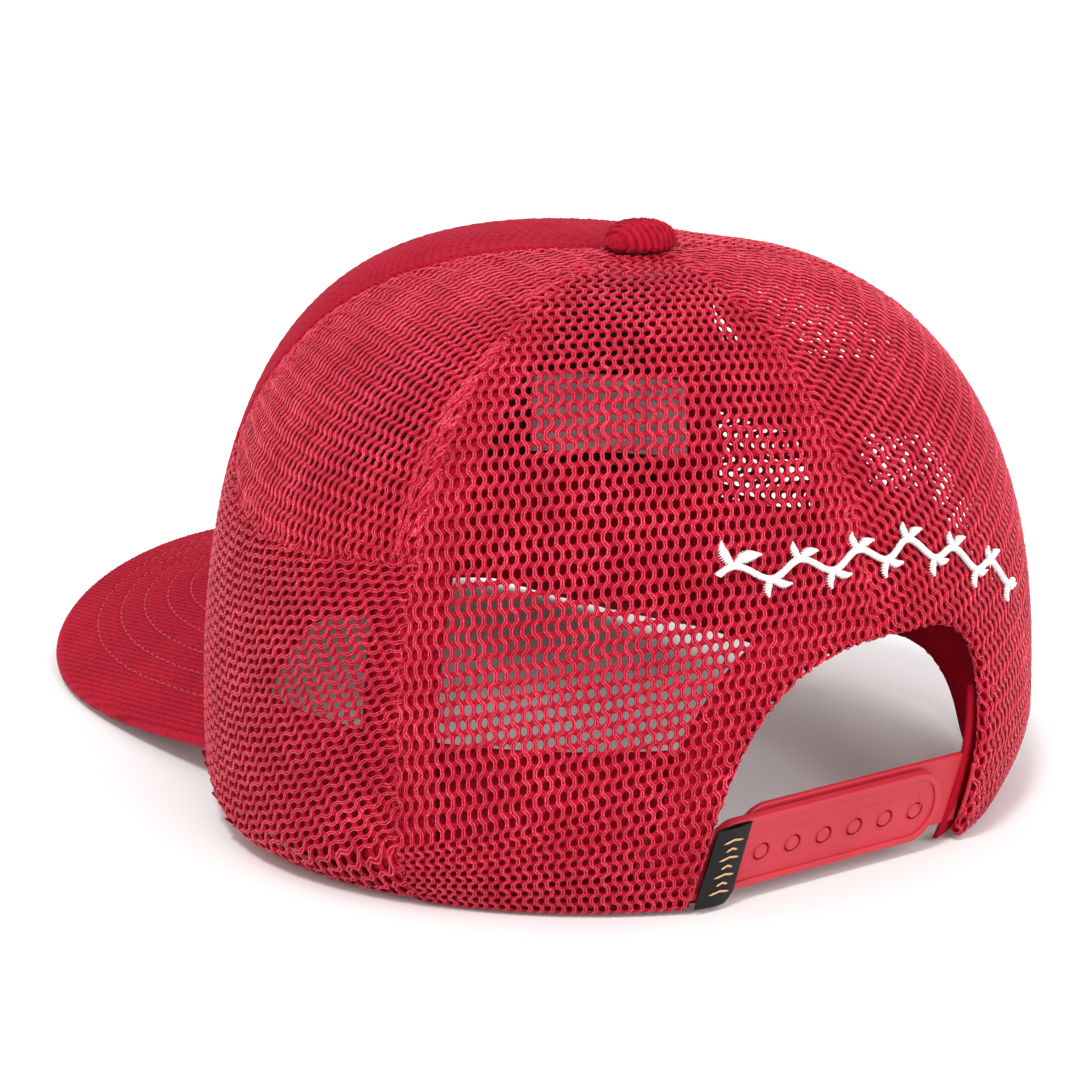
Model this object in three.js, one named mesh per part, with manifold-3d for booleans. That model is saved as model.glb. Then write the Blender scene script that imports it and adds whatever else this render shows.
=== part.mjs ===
// Seven-panel trucker cap with a snap closure, in millimetres. The visor points to -Y, the snap
// closure is at +Y, +X is the wearer's left and +Z is up. The cap rests on the plane Z = 0.
import * as THREE from 'three';
import Module from 'manifold-3d';
import { mergeVertices } from 'three/addons/utils/BufferGeometryUtils.js';

const wasm = await Module();
wasm.setup();

const DEG = Math.PI / 180;
const HALF_TURN = Math.PI;

// Crown: radii are cosine series of the angle about Z, which is 0 at the front, 90 degrees at the
// wearer's left and 180 degrees at the back.
const FRAME_SHIFT = 35.9;          // brings the middle of the cap's length over the origin
const CROWN_HEIGHT = 124;
const TOP_SHIFT = 14.5;            // the top button sits this far behind the frame's axis
const EDGE_RADIUS = [86.6, -1.4, 0.8, 1.9, 0.9];
const BULGE = [7.1, -1.9, 0, 0.15];
const WIDEST_LEVEL = [17.5, -7, 11.2];
const ROUNDNESS = [2.64, 0.26, 0.08, 0.12];
const FRONT_LIFT = 28;             // the visor's arch lifts the middle of the front edge
const LIFT_SPREAD = 1.6;
const LOWER_SHARE = 0.16;          // share of the height parameter that lies below the widest level

// Panels and the seams between them
const FRONT_SEAM = 50 * DEG;
const REAR_SEAM = 118 * DEG;
const SIDE_SPLIT = 0.41;           // height parameter of the seam between the two side panels
const SEAM_GAP = 0.36;
const TOP_RIM = 6.5;               // radius of the hole that the button's shank fills

// Layers, as depths below the outer surface
const MESH_DEPTH = [0, 1];
const FRONT_DEPTH = [0, 1.2];
const TAPE_DEPTH = [1.8, 2.6];
const BACKING_DEPTH = [1.9, 2.7];
const SWEATBAND_DEPTH = [4.1, 5.4];
const PATCH_DEPTH = [3.2, 3.7];
const PATCH_LEVELS = [52.5, 72.5];
const PATCH_ANGLES = [-50 * DEG, -25 * DEG];

const TAPE_WIDTH = 17;
const TAPE_NARROWING_RADIUS = 62;  // above this the tapes run together towards the top
const SWEATBAND_HEIGHT = 36;
const SWEATBAND_FRONT_DROP = 11;   // its top edge stays flatter than the arched front edge
const SWEATBAND_LIFT = 0.8;

// Rear arch
const ARCH_HALF_WIDTH = 37;
const ARCH_HEIGHT = 56;
const ARCH_POWER = 3;
const ARCH_LEAN = -7;              // the soft back leans to the wearer's right at the arch's top
const BINDING_WIDTH = 11;
const BINDING_INSET = 1.2;
const BINDING_DEPTH = [2.1, 2.8];
const BINDING_FOOT = 24;           // the straps' sewn ends lie below it

// Visor
const VISOR_HALF_WIDTH = 75;
const VISOR_LENGTH = 78.5;
const VISOR_ROOT_Y = -46;
const VISOR_POWER = 3.3;
const VISOR_ARCH = 0.0046;
const VISOR_SLOPE = 0.135;
const VISOR_ROOT_Z = 30.4;
const VISOR_LAYERS = { visor_top_cover: [0, 0.9], visor_board: [1.2, 2.4], visor_under_cover: [2.7, 3.4] };
const BOARD_INSET = 2;
const VISOR_ROOT_ANGLE = 57 * DEG;
const VISOR_ROOT_GAP = 1.1;

// Button and its rivet
const BUTTON_RADIUS = 8.2;
const BUTTON_HEIGHT = 6.2;
const RIVET_RADIUS = 2;
const RIVET_HEAD_RADIUS = 8;

// Snap closure
const STRAP_HEIGHT = 17;
const STRAP_PITCH = 8.3;
const STRAP_HOLES = 7;
const STRAP_PEGS = 6;              // the seventh hole lies under the label, beside the strap's root
const STRAP_FIRST = 22;            // the hole nearest to the outer strap's tip
const HOLE_DROP = 0.9;             // the row of holes runs a little below the strap's middle
const STRAP_CENTRE = [0, 82, 11.9];
const STRAP_TILT = 14 * DEG;
const STRAP_ROOT = 36;             // the straps flex here, beside the arch's two sides
const OUTER_TIP = 28.5;
const INNER_TIP = -25.5;
const OUTER_THICKNESS = 1.5;
const INNER_THICKNESS = 1.3;
const STRAP_GAP = 0.4;
const RIM_WIDTH = 2;
const RIM_HEIGHT = 0.5;
const HOLE_RADIUS = 2.5;
const PEG_RADIUS = 1.95;
const TAIL_LENGTH = 12;
const TAIL_GAP = 2.2;
const TAIL_DEPTH = 2.1;

// Labels and embroidery
const LABEL_WIDTH = 9.5;
const LABEL_HEIGHT = 18.4;
const LABEL_THICKNESS = 0.9;
const LABEL_ROOT = 35.2;
const LABEL_DROP = 1;               // it hangs a little below the straps
const LABEL_SLANT = 2.4;           // its sewn edge follows the arch's edge
const THREAD_RADIUS = 0.9;
const VINE_START = 33;
const VINE_END = -50;
const VINE_BEND = -10;
const VINE_LEVEL = 73;
const VINE_FALL = 16.5;
const VINE_SWING = 3.2;
const VINE_WAVES = 7;

const RED = { fabric: 0xc21533, corduroy: 0xa50f2b, tape: 0xa8112c, plastic: 0xd83a45 };

function paint(color, roughness, metalness = 0) {
  return new THREE.MeshStandardMaterial({ color, roughness, metalness });
}

const meshCloth = paint(RED.fabric, 0.75);
const corduroy = paint(RED.corduroy, 0.9);
const tapeCloth = paint(RED.tape, 0.85);
const plastic = paint(RED.plastic, 0.4);
const buckram = paint(0x2a1a1e, 0.9);
const board = paint(0x3a3a3c, 0.6);
const wovenBlack = paint(0x111113, 0.7);
const paleLabel = paint(0xb9a9b2, 0.8);
const whiteThread = paint(0xf2f0ec, 0.7);
const steel = paint(0x9a9a9e, 0.35, 1);

const cap = new THREE.Group();

function addPiece(name, geometry, material) {
  const mesh = new THREE.Mesh(geometry.translate(0, FRAME_SHIFT, 0), material);
  mesh.name = name;
  cap.add(mesh);
}

// ---- surfaces -------------------------------------------------------------------------------

function series(terms, angle) {
  return terms.reduce((sum, term, order) => sum + term * Math.cos(order * angle), 0);
}

// 1 at the front, falling to 0 at the wearer's sides
function frontShare(angle) {
  return Math.max(Math.cos(angle), 0) ** LIFT_SPREAD;
}

function edgeLevel(angle) {
  return FRONT_LIFT * frontShare(angle);
}

function crownSkin(angle, height) {
  const edgeRadius = series(EDGE_RADIUS, angle);
  const bulge = series(BULGE, angle);
  const widest = edgeRadius + bulge;
  const low = edgeLevel(angle);
  const middle = series(WIDEST_LEVEL, angle) + 0.8 * low;
  const curve = 2 / series(ROUNDNESS, angle);
  let radius;
  let level;
  if (height < LOWER_SHARE) {
    const rise = height / LOWER_SHARE;
    radius = widest - bulge * (1 - rise) ** 2;
    level = low + (middle - low) * rise;
  } else {
    const turn = (height - LOWER_SHARE) / (1 - LOWER_SHARE) * HALF_TURN / 2;
    radius = widest * Math.max(Math.cos(turn), 0) ** curve;
    level = middle + (CROWN_HEIGHT - middle) * Math.sin(turn) ** curve;
  }
  const shift = TOP_SHIFT * (1 - Math.min(radius / widest, 1));
  return new THREE.Vector3(radius * Math.sin(angle), shift - radius * Math.cos(angle), level);
}

function crownNormal(angle, height) {
  const step = 0.004;
  const across = crownSkin(angle + step, height).sub(crownSkin(angle - step, height));
  const low = Math.max(height - step, 0);
  const high = Math.min(height + step, 1);
  const up = crownSkin(angle, high).sub(crownSkin(angle, low));
  const normal = across.cross(up);
  normal.z *= Math.min(height / LOWER_SHARE, 1);      // the cloth's cut edge stands level
  return normal.lengthSq() < 1e-9 ? new THREE.Vector3(0, 0, 1) : normal.normalize();
}

function crownPoint(angle, height, depth) {
  return crownSkin(angle, height).addScaledVector(crownNormal(angle, height), -depth);
}

function bisect(low, high, isLow) {
  for (let i = 0; i < 40; i += 1) {
    const middle = (low + high) / 2;
    if (isLow(middle)) low = middle;
    else high = middle;
  }
  return (low + high) / 2;
}

function heightAtLevel(angle, level) {
  return bisect(0, 1, (height) => crownSkin(angle, height).z < level);
}

function heightAtRadius(angle, radius) {
  return bisect(LOWER_SHARE, 1, (height) => {
    const point = crownSkin(angle, height);
    return Math.hypot(point.x, point.y - TOP_SHIFT) > radius;
  });
}

// The crown's angle and height parameter at a place on the back, seen along Y
function backPlace(x, level) {
  let angle = HALF_TURN;
  let height = 0;
  for (let i = 0; i < 20; i += 1) {
    height = heightAtLevel(angle, level);
    const point = crownSkin(angle, height);
    const radius = point.x / Math.sin(angle) || series(EDGE_RADIUS, angle);
    angle = HALF_TURN - Math.asin(THREE.MathUtils.clamp(x / radius, -1, 1));
  }
  return [angle, height];
}

// ---- solids from a grid of points -----------------------------------------------------------

function closedGrid(columns, rows, place) {
  const points = [];
  for (const side of [0, 1]) {
    for (let i = 0; i <= columns; i += 1) {
      for (let j = 0; j <= rows; j += 1) points.push(place(i / columns, j / rows, side));
    }
  }
  const count = (columns + 1) * (rows + 1);
  const at = (i, j, side) => side * count + i * (rows + 1) + j;
  const faces = [];
  const quad = (a, b, c, d) => faces.push(a, b, c, a, c, d);
  for (let i = 0; i < columns; i += 1) {
    for (let j = 0; j < rows; j += 1) {
      quad(at(i, j, 0), at(i + 1, j, 0), at(i + 1, j + 1, 0), at(i, j + 1, 0));
      quad(at(i, j, 1), at(i, j + 1, 1), at(i + 1, j + 1, 1), at(i + 1, j, 1));
    }
    quad(at(i, 0, 1), at(i + 1, 0, 1), at(i + 1, 0, 0), at(i, 0, 0));
    quad(at(i, rows, 0), at(i + 1, rows, 0), at(i + 1, rows, 1), at(i, rows, 1));
  }
  for (let j = 0; j < rows; j += 1) {
    quad(at(0, j, 0), at(0, j + 1, 0), at(0, j + 1, 1), at(0, j, 1));
    quad(at(columns, j, 1), at(columns, j + 1, 1), at(columns, j + 1, 0), at(columns, j, 0));
  }
  return outward(points.flatMap((p) => p.toArray()), faces);
}

function outward(positions, faces) {
  const corner = (k) => new THREE.Vector3().fromArray(positions, 3 * k);
  let volume = 0;
  for (let k = 0; k < faces.length; k += 3) {
    volume += corner(faces[k]).dot(corner(faces[k + 1]).cross(corner(faces[k + 2])));
  }
  const geometry = new THREE.BufferGeometry();
  geometry.setAttribute('position', new THREE.Float32BufferAttribute(positions, 3));
  geometry.setIndex(volume < 0 ? faces.toReversed() : faces);
  return geometry;
}

// A layer of cloth on the crown. place(u, v) gives an angle and a height parameter.
function crownLayer(columns, rows, depths, place) {
  return closedGrid(columns, rows, (u, v, side) => crownPoint(...place(u, v), depths[side]));
}

function mix(a, b, share) {
  return a + (b - a) * share;
}

// Angle of a column between two seams, kept half a seam gap away from both
function betweenSeams(first, last, u, height, gap = SEAM_GAP) {
  const angle = mix(first, last, u);
  const radius = Math.max(series(EDGE_RADIUS, angle) * Math.sqrt(1 - height ** 6), TOP_RIM);
  return angle + gap / radius * (0.5 - u);
}

const SIDES = [{ name: 'left', sign: 1 }, { name: 'right', sign: -1 }];

// ---- crown panels ---------------------------------------------------------------------------

function addFrontPanel() {
  const half = FRONT_SEAM;
  addPiece('front_panel', crownLayer(18, 18, FRONT_DEPTH, (u, v) => {
    const top = heightAtRadius(mix(-half, half, u), TOP_RIM);
    const height = v * top;
    return [betweenSeams(-half, half, u, height), height];
  }), corduroy);
  const inner = FRONT_SEAM - 9 * DEG;
  addPiece('front_buckram', crownLayer(14, 14, BACKING_DEPTH, (u, v) => {
    const height = mix(0.02, 0.8, v);
    return [mix(-inner, inner, u), height];
  }), buckram);
}

function addSidePanels({ name, sign }) {
  const first = FRONT_SEAM;
  const last = REAR_SEAM;
  addPiece(`${name}_upper_side_panel`, crownLayer(12, 12, MESH_DEPTH, (u, v) => {
    const top = heightAtRadius(mix(first, last, u), TOP_RIM);
    const height = mix(SIDE_SPLIT + 0.002, top, v);
    return [sign * betweenSeams(first, last, u, height), height];
  }), meshCloth);
  addPiece(`${name}_lower_side_panel`, crownLayer(12, 8, MESH_DEPTH, (u, v) => {
    const height = v * (SIDE_SPLIT - 0.002);
    return [sign * betweenSeams(first, last, u, height), height];
  }), meshCloth);
}

// Height parameter of the arch's edge at an angle, on the side of the given sign
function archHeight(angle, sign, grow = 0) {
  return bisect(0, 0.6, (height) => {
    const point = crownSkin(angle, height);
    const rise = point.z / (ARCH_HEIGHT + grow);
    if (rise >= 1) return false;
    const across = sign * point.x - ARCH_LEAN * rise ** 2;
    const half = (ARCH_HALF_WIDTH + grow) * (1 - rise ** ARCH_POWER) ** (1 / ARCH_POWER);
    return Math.abs(across) < half;
  });
}

function archCorner(sign, grow = 0) {
  return bisect(REAR_SEAM, HALF_TURN, (angle) => archHeight(angle, sign, grow) < 1e-4);
}

function addRearPanel({ name, sign }) {
  const corner = archCorner(sign);
  const cornerShare = 0.42;
  const angleAt = (u) => {
    if (u < cornerShare) return mix(REAR_SEAM, corner, u / cornerShare);
    const share = (u - cornerShare) / (1 - cornerShare);
    return mix(corner, HALF_TURN, share ** 2);
  };
  addPiece(`${name}_rear_panel`, crownLayer(19, 16, MESH_DEPTH, (u, v) => {
    const angle = angleAt(u);
    const low = u <= cornerShare ? 0 : archHeight(angle, sign);
    const height = mix(low, heightAtRadius(angle, TOP_RIM), v);
    const share = (angle - REAR_SEAM) / (HALF_TURN - REAR_SEAM);
    return [sign * betweenSeams(REAR_SEAM, HALF_TURN, share, height), height];
  }), meshCloth);
}

// ---- inside: seam tapes, arch binding, sweatband, patch --------------------------------------

// A tape that covers a seam running up the crown, as wide at every height
function uprightTape(seam, low, high) {
  return crownLayer(2, 14, TAPE_DEPTH, (u, v) => {
    const height = mix(low, high, v);
    const middle = crownSkin(seam, height);
    const radius = Math.hypot(middle.x, middle.y - TOP_SHIFT * (1 - Math.cos(seam - HALF_TURN)));
    return [seam + (u - 0.5) * TAPE_WIDTH / Math.max(radius, TAPE_NARROWING_RADIUS), height];
  });
}

function addTapes() {
  const top = 0.8;
  for (const { name, sign } of SIDES) {
    addPiece(`${name}_front_seam_tape`, uprightTape(sign * FRONT_SEAM, 0.02, top), tapeCloth);
    addPiece(`${name}_rear_seam_tape`, uprightTape(sign * REAR_SEAM, 0.02, top), tapeCloth);
    const clearance = 10 * DEG;
    const band = 0.055;
    addPiece(`${name}_side_seam_tape`, crownLayer(9, 2, TAPE_DEPTH, (u, v) => {
      const angle = mix(FRONT_SEAM + clearance, REAR_SEAM - clearance, u);
      return [sign * angle, SIDE_SPLIT + (v - 0.5) * 2 * band];
    }), tapeCloth);
  }
  const [, clear] = backPlace(0, ARCH_HEIGHT + BINDING_WIDTH + 0.6);
  addPiece('centre_back_tape', uprightTape(HALF_TURN, clear, top), tapeCloth);
}

function addArchBinding() {
  addPiece('arch_binding', closedGrid(34, 2, (u, v, side) => {
    const power = 2 / ARCH_POWER;
    const foot = Math.asin((BINDING_FOOT / ARCH_HEIGHT) ** (1 / power));
    const turn = mix(foot, HALF_TURN - foot, u);
    const grow = mix(BINDING_INSET, BINDING_WIDTH, v);
    const rise = Math.sin(turn) ** power;
    const reach = Math.sign(Math.cos(turn)) * Math.abs(Math.cos(turn)) ** power;
    const level = (ARCH_HEIGHT + grow) * rise;
    const x = (ARCH_HALF_WIDTH + grow) * reach + ARCH_LEAN * rise ** 2;
    return crownPoint(...backPlace(x, level), BINDING_DEPTH[side]);
  }), tapeCloth);
}

function addSweatband() {
  const reach = archCorner(1, 1.5);
  addPiece('sweatband', closedGrid(56, 3, (u, v, side) => {
    const angle = mix(-reach, reach, u);
    const tall = SWEATBAND_HEIGHT - SWEATBAND_FRONT_DROP * frontShare(angle);
    const level = edgeLevel(angle) + SWEATBAND_LIFT + v * tall;
    return crownPoint(angle, heightAtLevel(angle, level), SWEATBAND_DEPTH[side]);
  }), tapeCloth);
}

function addInnerPatch() {
  const [low, high] = PATCH_LEVELS;
  addPiece('inner_front_patch', closedGrid(4, 3, (u, v, side) => {
    const angle = mix(...PATCH_ANGLES, u);
    return crownPoint(angle, heightAtLevel(angle, mix(low, high, v)), PATCH_DEPTH[side]);
  }), paleLabel);
}

// ---- visor ----------------------------------------------------------------------------------

function visorLevel(x, y) {
  const front = series(EDGE_RADIUS, 0);
  return VISOR_ROOT_Z - VISOR_ARCH * x * x - VISOR_SLOPE * (-y - front);
}

// The visor starts just outside the front panel, where its upper face meets the panel
function visorRoot(angle, inset) {
  let root = crownSkin(angle, 0);
  for (let i = 0; i < 4; i += 1) root = crownSkin(angle, heightAtLevel(angle, visorLevel(root.x, root.y)));
  const away = new THREE.Vector3(root.x, root.y, 0).normalize();
  return root.addScaledVector(away, VISOR_ROOT_GAP + inset);
}

function visorPoint(across, out, inset) {
  const root = visorRoot(across * VISOR_ROOT_ANGLE, inset);
  const turn = across * HALF_TURN / 2;
  const power = 2 / VISOR_POWER;
  const length = series(EDGE_RADIUS, 0) + VISOR_LENGTH + VISOR_ROOT_Y - inset;
  const x = (VISOR_HALF_WIDTH - inset) * Math.sign(turn) * Math.abs(Math.sin(turn)) ** power;
  const y = VISOR_ROOT_Y - length * Math.cos(turn) ** power;
  return new THREE.Vector3(mix(root.x, x, out), mix(root.y, y, out), 0);
}

function addVisor() {
  for (const [name, depths] of Object.entries(VISOR_LAYERS)) {
    const inset = name === 'visor_board' ? BOARD_INSET : 0;
    const widest = name === 'visor_board' ? 0.9 : 1;
    addPiece(name, closedGrid(24, 6, (u, v, side) => {
      const point = visorPoint(mix(-widest, widest, u), v, inset);
      point.z = visorLevel(point.x, point.y) - depths[side];
      return point;
    }), name === 'visor_board' ? board : corduroy);
  }
}

// ---- button ---------------------------------------------------------------------------------

function turned(profile, segments) {
  const geometry = new THREE.LatheGeometry(profile.map(([r, z]) => new THREE.Vector2(r, z)), segments);
  geometry.rotateX(HALF_TURN / 2);
  geometry.translate(0, TOP_SHIFT, CROWN_HEIGHT);
  return geometry;
}

function addButton() {
  const base = 0.5;
  const dome = [];
  for (let k = 0; k <= 8; k += 1) {
    const turn = k / 8 * HALF_TURN / 2;
    dome.push([BUTTON_RADIUS * Math.cos(turn) ** 0.7, base + 1 + (BUTTON_HEIGHT - 1) * Math.sin(turn)]);
  }
  dome[8][0] = 0;
  const shankTop = base + 1.6;
  const hole = RIVET_RADIUS + 0.3;
  const cover = [[0, shankTop], [hole, shankTop], [hole, base], [BUTTON_RADIUS - 0.8, base], ...dome];
  addPiece('top_button', turned(cover, 28), corduroy);
  const headTop = -SWEATBAND_DEPTH[0];
  const headLow = headTop - 1.2;
  const rivet = [[0, headLow], [RIVET_HEAD_RADIUS, headLow], [RIVET_HEAD_RADIUS, headTop]];
  rivet.push([RIVET_RADIUS, headTop], [RIVET_RADIUS, shankTop - 0.3], [0, shankTop - 0.3]);
  addPiece('button_rivet', turned(rivet, 20), steel);
}

// ---- snap closure ---------------------------------------------------------------------------

function solidOf(geometry) {
  const bare = geometry.clone();
  bare.deleteAttribute('normal');
  bare.deleteAttribute('uv');
  const welded = mergeVertices(bare, 1e-4);
  const vertProperties = new Float32Array(welded.attributes.position.array);
  const triVerts = new Uint32Array(welded.index.array);
  return new wasm.Manifold(new wasm.Mesh({ numProp: 3, vertProperties, triVerts }));
}

function geometryOf(solid) {
  const { numProp, vertProperties, triVerts } = solid.getMesh();
  const positions = [];
  for (let k = 0; k < vertProperties.length; k += numProp) {
    positions.push(vertProperties[k], vertProperties[k + 1], vertProperties[k + 2]);
  }
  return outward(positions, Array.from(triVerts));
}

// Outline of a strap in its own plane: square at its root and round at its tip
function strapOutline(root, tip, height, inset = 0) {
  const half = height / 2 - inset;
  const toTip = Math.sign(tip - root);
  const roundCentre = tip - toTip * (half + inset) * 0.8;
  const start = root + toTip * inset;
  const steps = 12;
  const top = [[start, half], [roundCentre, half]];
  const arc = [];
  for (let k = 1; k < steps; k += 1) {
    const turn = k / steps * HALF_TURN;
    const reach = (half + inset) * 0.8 - inset;
    arc.push([roundCentre + toTip * reach * Math.sin(turn), half * Math.cos(turn)]);
  }
  const bottom = top.map(([x, y]) => [x, -y]).reverse();
  const outline = [...top, ...arc, ...bottom].map(([x, y]) => new THREE.Vector2(x, y));
  return THREE.ShapeUtils.isClockWise(outline) ? outline.reverse() : outline;
}

function plate(outline, low, high, holes = []) {
  const shape = new THREE.Shape(outline);
  shape.holes.push(...holes);
  const geometry = new THREE.ExtrudeGeometry(shape, { depth: high - low, bevelEnabled: false });
  return geometry.translate(0, 0, low);
}

function snapPlaces(count) {
  return Array.from({ length: count }, (_, k) => STRAP_FIRST - k * STRAP_PITCH);
}

// Stands a flat piece of the closure at the back of the cap. In the flat piece x is the wearer's
// right, y is up the strap and z is out of the cap.
function atBack(solid) {
  const geometry = geometryOf(solid);
  geometry.rotateX(HALF_TURN / 2 + STRAP_TILT);
  geometry.rotateZ(HALF_TURN);
  return geometry.translate(...STRAP_CENTRE);
}

function addOuterStrap() {
  const outline = strapOutline(-STRAP_ROOT, OUTER_TIP, STRAP_HEIGHT);
  const holes = snapPlaces(STRAP_HOLES).map((x) => {
    return new THREE.Path().absarc(x, -HOLE_DROP, HOLE_RADIUS, 0, 2 * HALF_TURN, true);
  });
  const web = solidOf(plate(outline, 0, OUTER_THICKNESS, holes));
  const inner = new THREE.Path(strapOutline(-STRAP_ROOT, OUTER_TIP, STRAP_HEIGHT, RIM_WIDTH));
  const rim = solidOf(plate(outline, OUTER_THICKNESS - 0.2, OUTER_THICKNESS + RIM_HEIGHT, [inner]));
  addPiece('outer_strap', atBack(web.add(rim)), plastic);
}

function addInnerStrap() {
  const outline = strapOutline(STRAP_ROOT, INNER_TIP, STRAP_HEIGHT - 1);
  const face = -STRAP_GAP;
  let strap = solidOf(plate(outline, face - INNER_THICKNESS, face));
  for (const x of snapPlaces(STRAP_PEGS)) {
    const peg = new THREE.CylinderGeometry(PEG_RADIUS, PEG_RADIUS, STRAP_GAP + OUTER_THICKNESS, 20);
    peg.rotateX(HALF_TURN / 2);
    peg.translate(x, -HOLE_DROP, face + (STRAP_GAP + OUTER_THICKNESS) / 2 - 0.1);
    strap = strap.add(solidOf(peg));
  }
  addPiece('inner_strap', atBack(strap), plastic);
}

// The straps' sewn ends, held between the rear panels and the sweatband
function addStrapTails() {
  for (const { name, sign } of SIDES) {
    const root = STRAP_ROOT + TAIL_GAP;
    addPiece(`${name}_strap_tail`, closedGrid(4, 2, (u, v, side) => {
      const along = root + u * TAIL_LENGTH;
      const depth = mix(TAIL_DEPTH, TAPE_DEPTH[1] + 0.2, Math.min(u * 2, 1)) + side * 0.9;
      const level = STRAP_CENTRE[2] + (v - 0.5) * (STRAP_HEIGHT - 3);
      return crownPoint(...backPlace(sign * along, level), depth);
    }), plastic);
  }
}

function addFlagLabel() {
  const half = LABEL_HEIGHT / 2;
  const foot = -LABEL_ROOT;
  const head = LABEL_SLANT - LABEL_ROOT;
  const outline = [[foot, -half], [foot + LABEL_WIDTH, -half], [head + LABEL_WIDTH, half], [head, half]];
  const geometry = plate(outline.map(([x, y]) => new THREE.Vector2(x, y)), 0, LABEL_THICKNESS);
  geometry.translate(0, -LABEL_DROP, OUTER_THICKNESS + RIM_HEIGHT + 0.3);
  addPiece('flag_label', atBack(solidOf(geometry)), wovenBlack);
}

// ---- embroidery: a plain vine of thread above the arch ---------------------------------------

// Level of the vine's middle line: level over the arch, falling along the wearer's right
function vineLevel(x) {
  const past = Math.max(VINE_BEND - x, 0) / (VINE_BEND - VINE_END);
  return VINE_LEVEL - VINE_FALL * past ** 1.3;
}

function addEmbroidery() {
  const steps = 72;
  const points = [];
  for (let k = 0; k <= steps; k += 1) {
    const share = k / steps;
    const x = mix(VINE_START, VINE_END, share);
    const level = vineLevel(x) + VINE_SWING * Math.sin(share * VINE_WAVES * 2 * HALF_TURN);
    points.push(crownPoint(...backPlace(x, level), -THREAD_RADIUS - 0.3));
  }
  const route = new THREE.CatmullRomCurve3(points);
  const section = new THREE.Shape().absarc(0, 0, THREAD_RADIUS, 0, 2 * HALF_TURN);
  const options = { extrudePath: route, steps: 96, curveSegments: 3, bevelEnabled: false };
  addPiece('back_embroidery', new THREE.ExtrudeGeometry(section, options), whiteThread);
}

addFrontPanel();
SIDES.forEach(addSidePanels);
SIDES.forEach(addRearPanel);
addTapes();
addArchBinding();
addSweatband();
addInnerPatch();
addVisor();
addButton();
addOuterStrap();
addInnerStrap();
addStrapTails();
addFlagLabel();
addEmbroidery();

export default cap;
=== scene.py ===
"""A trucker mesh cap's looks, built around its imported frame.

Blender gets metres. Lengths here are in millimetres, as in the part's source, and to_mesh() turns them
into metres. The visor points to -Y, +X is the wearer's left, and the cap rests on Z = 0.
"""

import math

import bpy
import numpy as np
from mathutils import Matrix, Vector


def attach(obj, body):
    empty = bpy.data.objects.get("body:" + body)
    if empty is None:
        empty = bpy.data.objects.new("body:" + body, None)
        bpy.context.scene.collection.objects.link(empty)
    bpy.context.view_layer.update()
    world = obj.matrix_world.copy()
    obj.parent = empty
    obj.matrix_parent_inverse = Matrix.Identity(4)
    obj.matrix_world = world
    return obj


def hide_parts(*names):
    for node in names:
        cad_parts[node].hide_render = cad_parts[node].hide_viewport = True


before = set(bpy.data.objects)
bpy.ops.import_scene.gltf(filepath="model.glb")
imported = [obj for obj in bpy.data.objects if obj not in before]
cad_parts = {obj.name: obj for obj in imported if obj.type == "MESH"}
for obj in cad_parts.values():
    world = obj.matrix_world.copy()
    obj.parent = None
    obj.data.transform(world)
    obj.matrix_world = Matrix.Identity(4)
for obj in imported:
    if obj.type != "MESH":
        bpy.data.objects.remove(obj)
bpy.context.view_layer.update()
MM = 0.001
RNG = np.random.default_rng(11)

# ---- driving dimensions, as in the part's source ----
FRAME_SHIFT = 35.9
CROWN_HEIGHT = 124.0
TOP_SHIFT = 14.5
EDGE_RADIUS = (86.6, -1.4, 0.8, 1.9, 0.9)
BULGE = (7.1, -1.9, 0.0, 0.15)
WIDEST_LEVEL = (17.5, -7.0, 11.2)
ROUNDNESS = (2.64, 0.26, 0.08, 0.12)
FRONT_LIFT = 28.0
LIFT_SPREAD = 1.6
LOWER_SHARE = 0.16
FRONT_SEAM = math.radians(50)
REAR_SEAM = math.radians(118)
SIDE_SPLIT = 0.41
TOP_RIM = 6.5

ARCH_HALF_WIDTH = 37.0
ARCH_HEIGHT = 56.0
ARCH_POWER = 3.0
ARCH_LEAN = -7.0
BINDING_WIDTH = 11.0

VISOR_HALF_WIDTH = 75.0
VISOR_LENGTH = 78.5
VISOR_ROOT_Y = -46.0
VISOR_POWER = 3.3
VISOR_ARCH = 0.0046
VISOR_SLOPE = 0.135
VISOR_ROOT_Z = 30.4

STRAP_HEIGHT = 17.0
STRAP_PITCH = 8.3
STRAP_FIRST = 22.0
HOLE_DROP = 0.9
STRAP_CENTRE = (0.0, 82.0, 11.9)
STRAP_TILT = math.radians(14)
STRAP_ROOT = 36.0
OUTER_TIP = 28.5
INNER_TIP = -25.5
OUTER_THICKNESS = 1.5
INNER_THICKNESS = 1.3
STRAP_GAP = 0.4
RIM_HEIGHT = 0.5

# ---- what the cloth is like ----
SIDE_LIFT = 17.0                   # the soft right side's edge stands clear of the table
SIDE_LIFT_ANGLE = math.radians(-92)
SIDE_LIFT_SPREAD = (math.radians(14.5), math.radians(18))
BINDING_FOOT = 3.0                 # lower than the part's own, so the tape runs on to the straps
VISOR_THICKNESS = 3.3              # all three layers, which the part has apart
HOLE_SPACING = 2.3                 # from hole to hole along a row of the net
ROW_PITCH = 2.8                    # from row to row; each row is shifted by half a spacing
HOLE_HALF = (0.70, 0.98)
NET_DEPTH = 0.6                    # the net's middle lies this far below the crown's outer surface
INLAY_FACES = (0.08, -0.04, -0.34, -0.24)   # the knit's front and back, each at a cell's edge and hole
YARN_RADIUS = 0.155
YARN_APART = 0.235
ROW_STEPS = (0.0, 0.26, 0.42, 0.58, 0.74)   # where a pillar's yarn bends, as shares of a row
SEAM_TUCK = 1.6                    # cloth past a seam, which dips inwards by TUCK_DEPTH
TUCK_DEPTH = 1.5
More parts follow.
